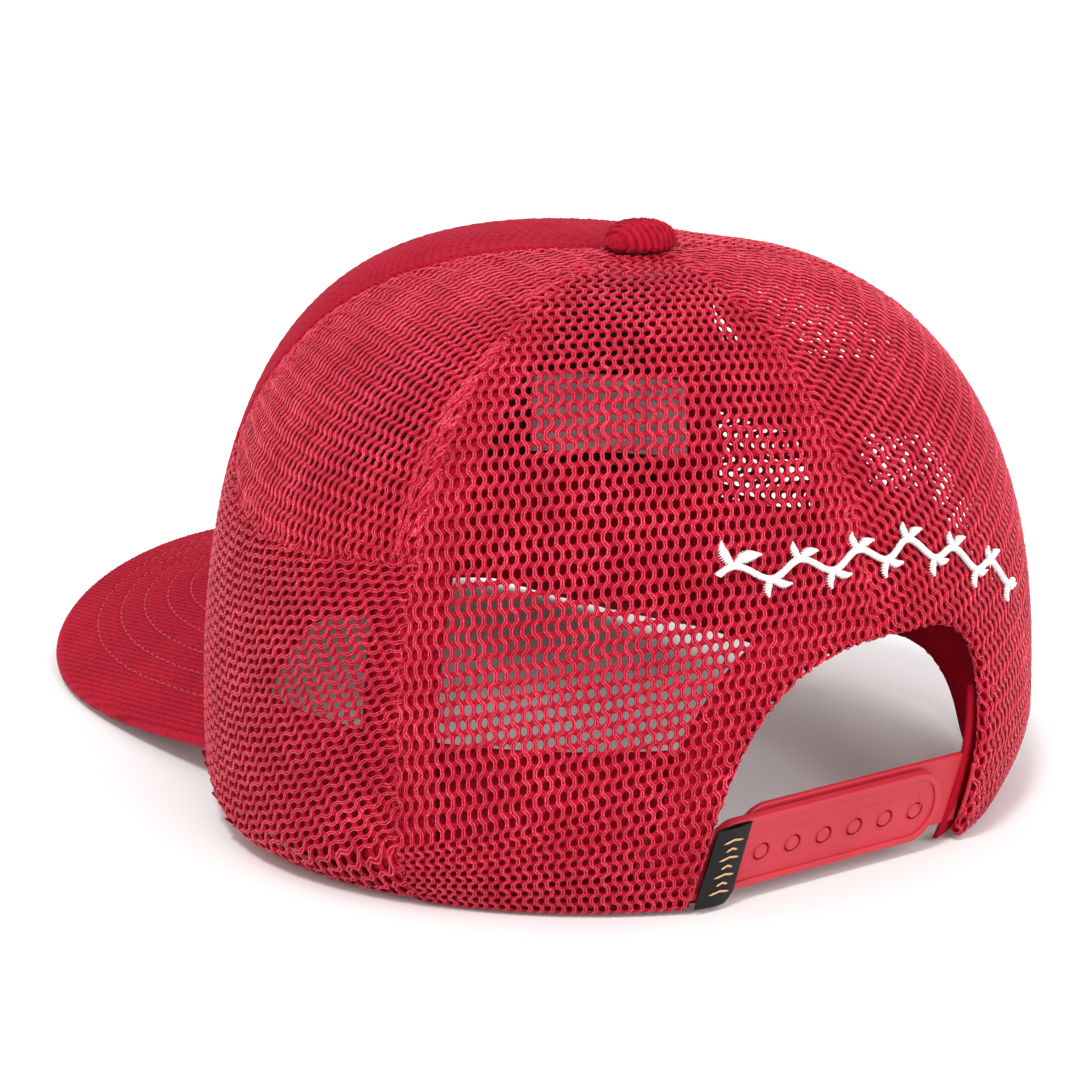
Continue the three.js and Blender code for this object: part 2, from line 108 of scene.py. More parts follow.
SEAM_REACH = 5.0                   # the knit is puckered this far from a seam
PUCKER = 0.13
FOLD_RADIUS = 1.1
BOTTOM_FOLD = 1.7                  # the lower edge's fold starts this far above the crown's edge
HEM = 9.0
WALE = 1.15
WALE_HEIGHT = 0.32
RIB_SPAN = 207.0                   # length that a corduroy piece's UV spans, a whole number of ridges


# ---- crown surface ----

def mix(a, b, share):
    return a + (b - a) * share


def unit(vectors):
    return vectors / np.maximum(np.linalg.norm(vectors, axis=-1, keepdims=True), 1e-9)


def run_along(line):
    """How far along a line each of its points lies."""
    return np.concatenate([[0], np.cumsum(np.linalg.norm(np.diff(line, axis=0), axis=1))])


def points_at(line, run, at):
    """The places on a line at some distances along it."""
    return np.stack([np.interp(at, run, line[:, k]) for k in range(line.shape[1])], -1)


def series(terms, angle):
    return sum(term * np.cos(order * angle) for order, term in enumerate(terms))


def front_share(angle):
    return np.clip(np.cos(angle), 0, None) ** LIFT_SPREAD


def side_lift(angle):
    past = angle - SIDE_LIFT_ANGLE
    spread = np.where(past > 0, SIDE_LIFT_SPREAD[1], SIDE_LIFT_SPREAD[0])
    return SIDE_LIFT * np.exp(-(past / spread) ** 2)


def edge_level(angle):
    return FRONT_LIFT * front_share(angle) + side_lift(angle)


def crown_ring(angle, height):
    """Radius about the crown's own axis, the axis's shift to the back, and the level."""
    bulge = series(BULGE, angle)
    widest = series(EDGE_RADIUS, angle) + bulge
    low = edge_level(angle)
    middle = series(WIDEST_LEVEL, angle) + 0.8 * low + 0.2 * side_lift(angle)
    curve = 2 / series(ROUNDNESS, angle)
    rise = height / LOWER_SHARE
    turn = np.clip((height - LOWER_SHARE) / (1 - LOWER_SHARE), 0, 1) * math.pi / 2
    below = height < LOWER_SHARE
    radius = np.where(below, widest - bulge * (1 - rise) ** 2, widest * np.cos(turn) ** curve)
    upper = middle + (CROWN_HEIGHT - middle) * np.sin(turn) ** curve
    level = np.where(below, low + (middle - low) * rise, upper)
    shift = TOP_SHIFT * (1 - np.minimum(radius / widest, 1))
    return radius, shift, level


def paired(a, b):
    return np.broadcast_arrays(np.asarray(a, float), np.asarray(b, float))


def crown_skin(angle, height):
    angle, height = paired(angle, height)
    radius, shift, level = crown_ring(angle, height)
    return np.stack([radius * np.sin(angle), shift - radius * np.cos(angle), level], -1)


def crown_normal(angle, height):
    step = 0.004
    high = np.minimum(height + step, 0.998)
    across = crown_skin(angle + step, height) - crown_skin(angle - step, height)
    normal = np.cross(across, crown_skin(angle, high) - crown_skin(angle, high - 2 * step))
    normal[..., 2] *= np.clip(height / LOWER_SHARE, 0, 1)
    return unit(normal)


def crown_point(angle, height, depth):
    angle, height = paired(angle, height)
    return crown_skin(angle, height) - crown_normal(angle, height) * np.asarray(depth)[..., None]


def bisect(low, high, is_low, shape):
    low, high = np.full(shape, float(low)), np.full(shape, float(high))
    for _ in range(34):
        middle = (low + high) / 2
        up = is_low(middle)
        low, high = np.where(up, middle, low), np.where(up, high, middle)
    return (low + high) / 2


def height_at_level(angle, level):
    angle, level = paired(angle, level)
    return bisect(-0.1, 1, lambda h: crown_ring(angle, h)[2] < level, angle.shape)


def height_at_radius(angle, radius):
    angle = np.asarray(angle, float)
    return bisect(LOWER_SHARE, 1, lambda h: crown_ring(angle, h)[0] > radius, angle.shape)


def back_place(x, level):
    """The crown's angle and height at a place on the back, seen along Y."""
    x, level = paired(x, level)
    angle = np.full(x.shape, math.pi)
    for _ in range(12):
        height = height_at_level(angle, level)
        angle = math.pi - np.arcsin(np.clip(x / crown_ring(angle, height)[0], -1, 1))
    return angle, height


# ---- meshes ----

def add_object(name, mesh, material, body):
    mesh.materials.append(material)
    mesh.polygons.foreach_set("use_smooth", np.ones(len(mesh.polygons), bool))
    obj = bpy.data.objects.new(name, mesh)
    bpy.context.scene.collection.objects.link(obj)
    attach(obj, body)
    return obj


def to_mesh(name, points, faces, material, body, uv=None, mirrored=False):
    """One object from points in millimetres and an array of triangles or quads."""
    points = np.array(points, float).reshape(-1, 3)
    faces = np.array(faces, np.int64)
    if mirrored:
        points[:, 0] *= -1
        faces = faces[:, ::-1]
    points[:, 1] += FRAME_SHIFT
    mesh = bpy.data.meshes.new(name)
    count, sides = faces.shape
    mesh.vertices.add(len(points))
    mesh.vertices.foreach_set("co", (points * MM).astype(np.float32).ravel())
    mesh.loops.add(count * sides)
    mesh.loops.foreach_set("vertex_index", faces.astype(np.int32).ravel())
    mesh.polygons.add(count)
    mesh.polygons.foreach_set("loop_start", np.arange(0, count * sides, sides, dtype=np.int32))
    mesh.update(calc_edges=True)
    mesh.validate()
    if uv is not None:
        layer = mesh.uv_layers.new(name="OFBake")
        corner = np.empty(len(mesh.loops), np.int32)
        mesh.loops.foreach_get("vertex_index", corner)
        layer.data.foreach_set("uv", np.asarray(uv, np.float32)[corner].ravel())
    return add_object(name, mesh, material, body)


def grid(columns, rows, start=0):
    """Shares across, from start to 1, and along, from 0 to 1, of (columns + 1) by (rows + 1) points."""
    return np.meshgrid(np.linspace(start, 1, columns + 1), np.linspace(0, 1, rows + 1), indexing="ij")


def grid_faces(columns, rows, wrap=False):
    """Quads of a grid of (columns + 1) by (rows + 1) points, or of columns by (rows + 1) if it wraps."""
    i, j = np.meshgrid(np.arange(columns), np.arange(rows), indexing="ij")
    i, j = i.ravel(), j.ravel()
    after = (i + 1) % columns if wrap else i + 1
    width = rows + 1
    quads = [i * width + j, after * width + j, after * width + j + 1, i * width + j + 1]
    return np.stack(quads, -1)


def shell(columns, rows, place):
    """Points and quads of a closed layer: place(u, v, side) gives a point, and side 0 is the outer face."""
    u, v = grid(columns, rows)
    points = np.concatenate([np.reshape(place(u, v, side), (-1, 3)) for side in (0, 1)])
    count = (columns + 1) * (rows + 1)
    at = np.arange(count).reshape(columns + 1, rows + 1)
    outer = grid_faces(columns, rows)
    rims = []
    for line, flip in ((at[:, 0], 0), (at[:, -1], 1), (at[0, :], 1), (at[-1, :], 0)):
        a, b = line[:-1], line[1:]
        quads = np.stack([a + count, b + count, b, a], -1)
        rims.append(quads[:, ::-1] if flip else quads)
    return points, np.concatenate([outer, outer[:, ::-1] + count, *rims])


def tube_faces(kept, sides):
    """Quads of tubes whose rings are kept[strand, ring], each ring having that many sides."""
    rings = kept.shape[1]
    both = kept[:, :-1] & kept[:, 1:]
    strand, ring = np.nonzero(both)
    first = (strand * rings + ring) * sides
    quads = []
    for k in range(sides):
        after = (k + 1) % sides
        quads.append(np.stack([first + k, first + after, first + sides + after, first + sides + k], -1))
    return np.concatenate(quads)


def used_only(points, faces, *others):
    """Drops the points that no face uses."""
    used = np.zeros(len(points), bool)
    used[faces.ravel()] = True
    number = np.cumsum(used) - 1
    return (points[used], number[faces], *[other[used] for other in others])


def path_rings(points, radius, sides, flat=1.0, out=(0.0, 0.0, 1.0)):
    """Rings of points round a path, flattened along the direction out."""
    along = unit(np.gradient(points, axis=0))
    side = unit(np.cross(along, np.broadcast_to(np.asarray(out), points.shape)))
    up = np.cross(side, along)
    turn = np.arange(sides) / sides * 2 * math.pi
    ring = side[:, None] * np.cos(turn)[None, :, None] + up[:, None] * (flat * np.sin(turn))[None, :, None]
    return points[:, None] + radius * ring


END_TAPER = 0.8


def joined(parts):
    """One set of points and quads from several (points, quads) pairs."""
    points, faces, start = [], [], 0
    for part_points, part_faces in parts:
        points.append(part_points)
        faces.append(np.asarray(part_faces) + start)
        start += len(part_points)
    return np.concatenate(points), np.concatenate(faces)


def tubes(paths, radius, sides=6, flat=1.0, outs=None):
    """Many tubes as one set of points and quads. The ends are closed by drawing them nearly to a point."""
    parts = []
    for path, out in zip(paths, outs or [(0.0, 0.0, 1.0)] * len(paths)):
        path = np.asarray(path, float)
        rings = path_rings(path, radius, sides, flat, out)
        rings[0] = mix(rings[0], path[0], END_TAPER)
        rings[-1] = mix(rings[-1], path[-1], END_TAPER)
        parts.append((rings.reshape(-1, 3), tube_faces(np.ones((1, len(path)), bool), sides)))
    return joined(parts)


# ---- materials ----

class Nodes:
    """A material and short ways to add its nodes."""

    def __init__(self, name, roughness=0.8, **values):
        self.material = bpy.data.materials.new(name)
        self.material.use_nodes = True
        self.tree = self.material.node_tree
        self.shader = self.tree.nodes["Principled BSDF"]
        for key, value in {"Roughness": roughness, **values}.items():
            self.shader.inputs[key.replace("_", " ")].default_value = value

    def add(self, kind, **values):
        node = self.tree.nodes.new(kind)
        for key, value in values.items():
            if key in node.inputs:
                node.inputs[key].default_value = value
            else:
                setattr(node, key, value)
        return node

    def link(self, output, target):
        self.tree.links.new(output, target)

    def place(self, stretch=(1, 1, 1), uv=False):
        source = self.add("ShaderNodeTexCoord").outputs["UV" if uv else "Object"]
        mapping = self.add("ShaderNodeMapping", Scale=stretch)
        self.link(source, mapping.inputs["Vector"])
        return mapping.outputs["Vector"]

    def noise(self, scale, detail=2.0, where=None, roughness=0.5):
        node = self.add("ShaderNodeTexNoise", Scale=scale, Detail=detail, Roughness=roughness)
        self.link(where or self.place(), node.inputs["Vector"])
        return node.outputs["Fac"]

    def wave(self, scale, where, direction="X", distortion=0.0):
        node = self.add("ShaderNodeTexWave", Scale=scale, Distortion=distortion, bands_direction=direction)
        self.link(where, node.inputs["Vector"])
        return node.outputs["Fac"]

    def math(self, operation, a, b):
        node = self.add("ShaderNodeMath", operation=operation)
        for k, value in enumerate((a, b)):
            if isinstance(value, (int, float)):
                node.inputs[k].default_value = value
            else:
                self.link(value, node.inputs[k])
        return node.outputs[0]

    def blend(self, a, share, b, other):
        """The sum of a times share and b times other."""
        return self.math("ADD", self.math("MULTIPLY", a, share), self.math("MULTIPLY", b, other))

    def colour(self, factor, *stops):
        ramp = self.add("ShaderNodeValToRGB")
        self.link(factor, ramp.inputs["Fac"])
        elements = ramp.color_ramp.elements
        while len(elements) < len(stops):
            elements.new(0.5)
        for element, (position, rgb) in zip(elements, stops):
            element.position = position
            element.color = (*rgb, 1)
        self.link(ramp.outputs["Color"], self.shader.inputs["Base Color"])

    def bump(self, height, strength=0.3, distance=0.0002):
        node = self.add("ShaderNodeBump", Strength=strength, Distance=distance)
        self.link(height, node.inputs["Height"])
        self.link(node.outputs["Normal"], self.shader.inputs["Normal"])


def yarn_material(name, dark, light, painted_glint, shine, roughness):
    """Glossy dyed filament: its highlights keep the dye's tint, and its colour also carries painted glints.
    """
    n = Nodes(name, roughness, Specular_IOR_Level=shine, Specular_Tint=(1.0, 0.45, 0.5, 1))
    fibres_and_glints = n.noise(2600, 3)
    patches = n.noise(90, 2)
    # The brightest stop is a painted highlight: the fine fibre noise reaches it in short streaks of glint,
    # over the yarn's own fibre-to-fibre tone.
    n.colour(n.blend(fibres_and_glints, 0.75, patches, 0.25), (0.36, dark), (0.54, light), (0.66, painted_glint))
    n.bump(n.noise(5200, 2), 0.5, 0.00012)
    return n.material


def twill_material(name, dark, light, pitch=0.0006, roughness=0.85, strength=0.5):
    n = Nodes(name, roughness, Specular_IOR_Level=0.12, Specular_Tint=(1.0, 0.4, 0.4, 1))
    where = n.place((1, 1, 1.6))
    weave = n.math("MULTIPLY", n.wave(0.5 / pitch, where, "DIAGONAL", 0.6),
                   n.wave(0.9 / pitch, where, "Z", 0.8))
    threads = n.blend(weave, 0.7, n.noise(1500, 3), 0.5)
    n.colour(threads, (0.2, dark), (0.85, light))
    n.bump(threads, strength, 0.00015)
    return n.material


def corduroy_material(name, groove, ridge):
    """Soft pile in ridges. The UV's first axis runs across them, RIB_SPAN millimetres to its length."""
    n = Nodes(name, 0.92, Specular_IOR_Level=0.08, Sheen_Weight=0.4, Sheen_Roughness=0.4,
              Sheen_Tint=(1.0, 0.16, 0.22, 1))
    split = n.add("ShaderNodeSeparateXYZ")
    n.link(n.place(uv=True), split.inputs[0])
    across = n.math("MULTIPLY", split.outputs[0], RIB_SPAN / WALE * math.pi)
    rib_shade = n.math("ABSOLUTE", n.math("COSINE", across, 0.0), 0.0)
    fluff = n.noise(1900, 4, n.place((1, 0.35, 0.5)), 0.65)
    wear = n.math("MULTIPLY", n.noise(55, 2), 0.25)
    # The ribs pull the colour down to the groove colour between the ridges: painted shade in the grooves,
    # besides the pile's real uneven tone.
    n.colour(n.math("ADD", n.blend(rib_shade, 0.25, fluff, 0.6), wear), (0.36, groove), (0.84, ridge))
    n.bump(fluff, 0.6, 0.0003)
    return n.material


def plain_material(name, roughness, cloud, dark, light, grain, strength, end=0.7, **values):
    """Clouded colour over a fine grain."""
    n = Nodes(name, roughness, **values)
    n.colour(n.noise(cloud, 3), (0.3, dark), (end, light))
    n.bump(n.noise(grain, 2), strength, 0.0001)
    return n.material


def thread_material(name, dark, light, sheen=0.3):
    n = Nodes(name, 0.55, Sheen_Weight=sheen, Sheen_Roughness=0.3)
    strands = n.noise(3200, 3)
    n.colour(strands, (0.3, dark), (0.65, light))
    n.bump(strands, 0.4, 0.00012)
    return n.material


def buckram_material():
    n = Nodes("buckram_cloth", 0.95)
    where = n.place()
    weave = n.math("MULTIPLY", n.wave(420, where, "X"), n.wave(420, where, "Z"))
    # Near black to dark maroon: the lining's own dark red, darkened further with painted shade of the closed
    # front inside the crown.
    n.colour(n.blend(weave, 0.6, n.noise(1200, 2), 0.4),
             (0.2, (0.05, 0.004, 0.008)), (0.8, (0.17, 0.012, 0.022)))
    n.bump(weave, 0.4, 0.0002)
    return n.material


def patch_material():
    """A pale woven patch, clouded and blank."""
    n = Nodes("patch_cloth", 0.85, Sheen_Weight=0.2)
    cloth = n.noise(1400, 3)
    cloud = n.noise(120, 2, n.place((1, 1, 2.2)), 0.7)
    n.colour(n.blend(cloth, 0.35, cloud, 0.65), (0.40, (0.60, 0.38, 0.45)), (0.60, (0.94, 0.74, 0.80)))
    n.bump(cloth, 0.3, 0.00015)
    return n.material


def satin_material():
    n = Nodes("black_satin", 0.5, Specular_IOR_Level=0.2)
    lines = n.blend(n.wave(1300, n.place(), "Z", 0.4), 0.6, n.noise(2400, 2), 0.4)
    n.colour(lines, (0.25, (0.003, 0.003, 0.0035)), (0.8, (0.010, 0.010, 0.010)))
    n.bump(lines, 0.35, 0.0001)
    return n.material


# Ground and yarns are one dyed filament. The ground's colours are set darker than the yarns': painted shade
# of the knit lying below the pillars. Each top stop is a painted glint.
NET_BASE = yarn_material("net_inlay", (0.24, 0.002, 0.011), (0.42, 0.005, 0.023), (0.62, 0.014, 0.045),
                         shine=0.15, roughness=0.6)
NET_YARN = yarn_material("net_yarn", (0.48, 0.006, 0.028), (0.74, 0.024, 0.068), (1.0, 0.15, 0.22),
                         shine=1.0, roughness=0.32)
# The first colour is the grooves' painted shade, the second the pile's own red.
CORDUROY = corduroy_material("corduroy_pile", (0.20, 0.002, 0.010), (0.55, 0.009, 0.037))
TWILL = twill_material("tape_twill", (0.36, 0.004, 0.016), (0.58, 0.012, 0.036))
BAND = twill_material("sweatband_twill", (0.33, 0.004, 0.015), (0.50, 0.010, 0.030), 0.0004, 0.9, 0.25)
STITCH = thread_material("red_thread", (0.36, 0.008, 0.022), (0.60, 0.02, 0.045))
WHITE = thread_material("white_thread", (0.80, 0.78, 0.76), (0.95, 0.94, 0.92), 0.15)
TAN = thread_material("tan_thread", (0.50, 0.27, 0.12), (0.72, 0.44, 0.22))
PLASTIC = plain_material("strap_plastic", 0.42, 60, (0.50, 0.021, 0.037), (0.57, 0.031, 0.049), 900, 0.05,
                         end=0.75, Specular_IOR_Level=0.4, Subsurface_Weight=0.1, Subsurface_Scale=0.002,
                         Subsurface_Radius=(1.0, 0.25, 0.2))
BOARD = plain_material("board_plastic", 0.5, 300, (0.03, 0.03, 0.032), (0.055, 0.055, 0.06), 700, 0.1)
STEEL = plain_material("pressed_steel", 0.35, 500, (0.42, 0.42, 0.44), (0.6, 0.6, 0.62), 1800, 0.08,
                       Metallic=1.0)
BUCKRAM = buckram_material()
PATCH = patch_material()
SATIN = satin_material()


# ---- net panels ----

class NetPanel:
    """A piece of net laid on the crown. Flat places are millimetres along the ring from the panel's
    middle and up the middle's meridian; the net's own p and q run across and along its pillars."""

    def __init__(self, sign, first, last, low=None, high=None, turn=0.0, lean=None, straight=1.0):
        self.sign = sign
        self.first, self.last = first, last
        self.middle = (first + last) / 2
        self.turn = turn
        self.heights = np.linspace(-0.1, 0.995, 700)
        line = crown_skin(np.full(700, sign * self.middle), self.heights)
        arc = run_along(line)
        self.arc = arc - np.interp(0, self.heights, arc)
        rings = crown_ring(sign * self.middle, self.heights)[0]
        self.bend = straight * np.clip(-np.gradient(rings, self.arc) / np.maximum(rings, 8), 0, 0.1)
        self.low = None if low is None else np.interp(low, self.heights, self.arc)
        self.high = None if high is None else np.interp(high, self.heights, self.arc)
        self.arch = None if lean is None else arch_edge(lean)

    def net_range(self):
        """The smallest and largest p and q that the panel may reach."""
        half = (self.last - self.first) / 2 * 98 + 4
        low = -HEM if self.low is None else self.low - 4
        high = self.arc[-1] if self.high is None else self.high + 4
        a = np.array([-half, half, half, -half])
        b = np.array([low, low, high, high])
        c, s = math.cos(self.turn), math.sin(self.turn)
        p, q = a * c + b * s, b * c - a * s
        return p.min(), p.max(), q.min(), q.max()

    def skin(self, angle, height):
        """The crown's point and normal, as if the panel were on the left."""
        flip = np.array([self.sign, 1, 1])
        return crown_skin(self.sign * angle, height) * flip, crown_normal(self.sign * angle, height) * flip

    def flat(self, p, q):
        c, s = math.cos(self.turn), math.sin(self.turn)
        return p * c - q * s, p * s + q * c

    def place(self, p, q, w):
        """Points for net places p, q at w outside the net's middle, which of them to keep, and how
        near they are to a seam."""
        a, b = self.flat(p, q)
        b = b - 0.5 * np.interp(b, self.arc, self.bend) * a ** 2
        height = np.interp(b, self.arc, self.heights)
        ring = np.maximum(crown_ring(self.sign * self.middle, height)[0], 3)
        angle = self.middle + a / ring
        spot, normal = self.skin(angle, height)
        radius = crown_ring(self.sign * angle, height)[0]
        gaps = [(angle - self.first) * radius, (self.last - angle) * radius, radius - TOP_RIM + 2]
        if self.low is not None:
            gaps.append(b - self.low)
        if self.high is not None:
            gaps.append(self.high - b)
        gap = np.min(gaps, axis=0)
        keep = (gap > -SEAM_TUCK) & (np.abs(a / ring) < 1)
        near = np.clip(1 - (gap + SEAM_TUCK) / (2.2 * SEAM_TUCK), 0, 1)
        waves = np.sin(b * 0.9 + 2 * a) + np.sin(1.7 * b - a)
        pucker = np.exp(-np.clip(gap, 0, None) / SEAM_REACH) * waves
        depth = NET_DEPTH + TUCK_DEPTH * near ** 2 - PUCKER * pucker
        out = np.zeros_like(normal)
        past = np.zeros_like(b)
        if self.low is None:
            past, out, spot, normal = self.fold_bottom(angle, b, spot, normal)
            keep &= b > -HEM
        if self.arch is not None:
            past, out, spot, normal, gap = self.fold_arch(past, out, spot, normal)
            keep &= gap > -HEM
        turn = np.clip(past / FOLD_RADIUS, 0, math.pi)
        beyond = np.clip(past - math.pi * FOLD_RADIUS, 0, None)
        middle = spot - normal * (depth + FOLD_RADIUS * (1 - np.cos(turn)))[..., None]
        middle += out * (FOLD_RADIUS * np.sin(turn) - beyond)[..., None]
        outward = normal * np.cos(turn)[..., None] + out * np.sin(turn)[..., None]
        return middle + outward * np.asarray(w)[..., None], keep, np.exp(-np.clip(gap, 0, None) / SEAM_REACH)

    def fold_bottom(self, angle, b, spot, normal):
        """The hem along the crown's lower edge: cloth past the fold turns round to the inside."""
        past = np.clip(BOTTOM_FOLD - b, 0, None)
        start = np.interp(BOTTOM_FOLD, self.arc, self.heights)
        fold, there = self.skin(angle, np.full_like(b, start))
        below = unit(self.skin(angle, np.full_like(b, 0.0))[0] - fold)
        is_past = (past > 0)[..., None]
        out = np.where(is_past, below, 0.0)
        return past, out, np.where(is_past, fold, spot), np.where(is_past, there, normal)

    def fold_arch(self, past, out, spot, normal):
        """The hem round the rear arch."""
        edge, edge_out, edge_normal = self.arch
        flat = spot.reshape(-1, 3)
        nearest = np.zeros(len(flat), int)
        close = (flat[:, 1] > 40) & (flat[:, 2] < ARCH_HEIGHT + 12) & (flat[:, 0] < ARCH_HALF_WIDTH + 20)
        index = np.nonzero(close)[0]
        for part in np.array_split(index, max(1, len(index) // 4000)):
            far = ((flat[part, None] - edge[None]) ** 2).sum(-1)
            nearest[part] = far.argmin(1)
        reach = flat - edge[nearest]
        gap = np.where(close, -(reach * edge_out[nearest]).sum(-1), 1e3).reshape(past.shape)
        way = edge_out[nearest].reshape(spot.shape)
        turned = np.clip(FOLD_RADIUS - gap, 0, None)
        is_past = (turned > 0)[..., None]
        fold = spot - way * turned[..., None]
        there = edge_normal[nearest].reshape(spot.shape)
        past = np.where(turned > 0, turned, past)
        out = np.where(is_past, way, out)
        return past, out, np.where(is_past, fold, spot), np.where(is_past, there, normal), gap


def arch_line(turn, lean, grow=0.0):
    """Places on the rear arch's outline, moved outwards by grow; turn runs from 0 to pi over it."""
    power = 2 / ARCH_POWER
    rise = np.sin(turn) ** power
    reach = np.sign(np.cos(turn)) * np.abs(np.cos(turn)) ** power
    return back_place((ARCH_HALF_WIDTH + grow) * reach + lean * rise ** 2, (ARCH_HEIGHT + grow) * rise)


def arch_edge(lean):
    """Points of the rear arch's edge on the crown, the way into the opening, and the crown's normal."""
    angle, height = arch_line(np.linspace(0, math.pi, 240), lean)
    points = crown_skin(angle, height)
    normal = crown_normal(angle, height)
    out = unit(np.cross(np.gradient(points, axis=0), normal))
    centre = points[[0, -1]].mean(0)
    if ((centre - points[120]) * out[120]).sum() < 0:
        out = -out
    return points, out, normal


def wobble(p, q):
    """A small uneven pull in the knit."""
    across = 0.10 * np.sin(0.31 * p + 0.17 * q + 1) + 0.08 * np.sin(0.83 * q - 0.29 * p)
    along = 0.10 * np.sin(0.23 * p - 0.41 * q + 2) + 0.07 * np.sin(0.97 * p + 0.13 * q)
    return p + across, q + along


def net_inlay(panel):
    """The knit between the holes: a thin sheet whose cells each have an oval hole."""
    s, r = HOLE_SPACING, ROW_PITCH
    near = (r * r - s * s / 4) / (2 * r)
    far = (r * r + s * s / 4) / (2 * r)
    half = (near + far) / 2
    upper = [(s / 2, 0), (s / 2, near), (s / 4, half), (0, far), (-s / 4, half), (-s / 2, near)]
    border = np.array(upper + [(-x, -y) for x, y in upper])
    sides = len(border)
    turn = np.arange(sides) / sides * 2 * math.pi
    hole = np.stack([HOLE_HALF[0] * np.cos(turn), HOLE_HALF[1] * np.sin(turn)], -1)
    p0, p1, q0, q1 = panel.net_range()
    rows = np.arange(math.floor(q0 / r), math.ceil(q1 / r) + 1)
    columns = np.arange(math.floor(p0 / s), math.ceil(p1 / s) + 1)
    k, i = np.meshgrid(rows, columns, indexing="ij")
    centre = np.stack([(i + 0.5 * (k % 2)) * s, k * r], -1).reshape(-1, 2)
    _, keep, _ = panel.place(*centre.T, np.zeros(len(centre)))
    centre = centre[keep]
    outer = (centre[:, None] + border).reshape(-1, 2)
    keys, index = np.unique(np.round(outer * 200).astype(int), axis=0, return_inverse=True)
    index = index.reshape(-1, sides)
    outer = keys / 200
    inner = (centre[:, None] + hole * RNG.uniform(0.93, 1.07, (len(centre), 1, 1))).reshape(-1, 2)
    flat = np.concatenate([outer, inner, outer, inner])
    w = np.repeat(INLAY_FACES, [len(outer), len(inner)] * 2)
    count = len(outer) + len(inner)
    inside = len(outer) + np.arange(len(inner)).reshape(-1, sides)
    after, inside_after = np.roll(index, -1, 1), np.roll(inside, -1, 1)
    front = np.stack([index, after, inside_after, inside], -1).reshape(-1, 4)
    wall = np.stack([inside, inside_after, inside_after + count, inside + count], -1).reshape(-1, 4)
    points, _, _ = panel.place(*wobble(*flat.T), w)
    uv = (flat - flat.min(0)) / (flat.max(0) - flat.min(0)).max()
    return points, np.concatenate([front, front[:, ::-1] + count, wall]), uv


def net_pillars(panel, sides=4):
    """The pairs of looped yarns that run beside the holes and step across between the rows."""
    s, r = HOLE_SPACING, ROW_PITCH
    p0, p1, q0, q1 = panel.net_range()
    columns = np.arange(math.floor(p0 / s), math.ceil(p1 / s) + 1)
    rows = np.arange(math.floor(q0 / r), math.ceil(q1 / r))
    phase = (rows[:, None] + np.array(ROW_STEPS)).ravel()
    q = phase * r
    saw = 1 - 2 * np.abs(phase % 2 - 1)
    swing = np.clip(saw / (1 - 2 * ROW_STEPS[1]), -1, 1) * s / 4
    slope = np.gradient(swing, q)
    strands = len(columns) * 2
    column = np.repeat(columns, 2)[:, None]
    apart = np.tile([-1.0, 1.0], len(columns))[:, None]
    loose = RNG.normal(0, 1, (3, strands, len(q)))
    at_hole = np.cos(phase * 2 * math.pi)
    p = (column + 0.75) * s + swing + apart * (YARN_APART + 0.04 * at_hole)
    q = q - apart * slope * 0.12
    _, keep, seam = panel.place(p, q, np.zeros_like(p))
    p, q = wobble(p + (0.03 + 0.09 * seam) * loose[0], q + (0.04 + 0.12 * seam) * loose[1])
    lift = 0.16 - 0.05 * at_hole + (0.04 + 0.07 * seam) * loose[2]
    size = np.sqrt(1 + slope ** 2)
    turn = np.arange(sides) / sides * 2 * math.pi + math.pi / 4
    radius = YARN_RADIUS * RNG.uniform(0.85, 1.15, (strands, 1, 1))
    ring_p = radius * np.cos(turn) / size[:, None]
    ring_q = -radius * np.cos(turn) * (slope / size)[:, None]
    w = lift[..., None] + radius * np.sin(turn)
    points, _, _ = panel.place(p[..., None] + ring_p, q[..., None] + ring_q, w)
    faces = tube_faces(keep, sides)[:, ::-1]
    lane = (np.arange(strands)[:, None, None] + np.arange(sides) / sides) / strands
    along = (phase - phase[0]) / (phase[-1] - phase[0])
    uv = np.stack(np.broadcast_arrays(along[None, :, None], lane), -1)
    return used_only(points.reshape(-1, 3), faces, uv.reshape(-1, 2))


def add_net(side, part, flat, area, **shape):
    """One panel of net: the knitted ground and the thicker strands over it. Its cut size, flat and area, is
    not used.
    """
    mirrored = side == "right"
    panel = NetPanel(-1 if mirrored else 1, **shape)
    node = f"{side}_{part}"
    points, faces, uv = net_inlay(panel)
    inlay = to_mesh(f"{node}_net", points, faces, NET_BASE, "cap", uv, mirrored=mirrored)
    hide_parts(node)
    points, faces, uv = net_pillars(panel)
    yarns = to_mesh(f"{node}_yarns", points, faces, NET_YARN, "cap", uv, mirrored=mirrored)


LOWER_TURN = math.radians(-57)      # the lower side panels are cut with their pillars on the slant
RIGHT_REAR_TURN = math.radians(-22)


def add_nets():
    for side in ("left", "right"):
        lean = ARCH_LEAN if side == "left" else -ARCH_LEAN
        add_net(side, "upper_side_panel", flat=(0.105, 0.105), area=0.0063,
                first=FRONT_SEAM, last=REAR_SEAM, low=SIDE_SPLIT)
        add_net(side, "lower_side_panel", flat=(0.118, 0.078), area=0.0079,
                first=FRONT_SEAM, last=REAR_SEAM, high=SIDE_SPLIT, turn=LOWER_TURN)
        turn = 0.0 if side == "left" else RIGHT_REAR_TURN
        add_net(side, "rear_panel", flat=(0.100, 0.165), area=0.0117,
                first=REAR_SEAM, last=math.pi, lean=lean, turn=turn, straight=0.35)


# ---- corduroy: front panel, visor, button ----

def wale(across):
    """Height of the corduroy's rounded ridges over the grooves between them."""
    return WALE_HEIGHT * (np.abs(np.cos(math.pi * across / WALE)) ** 0.7 - 1)


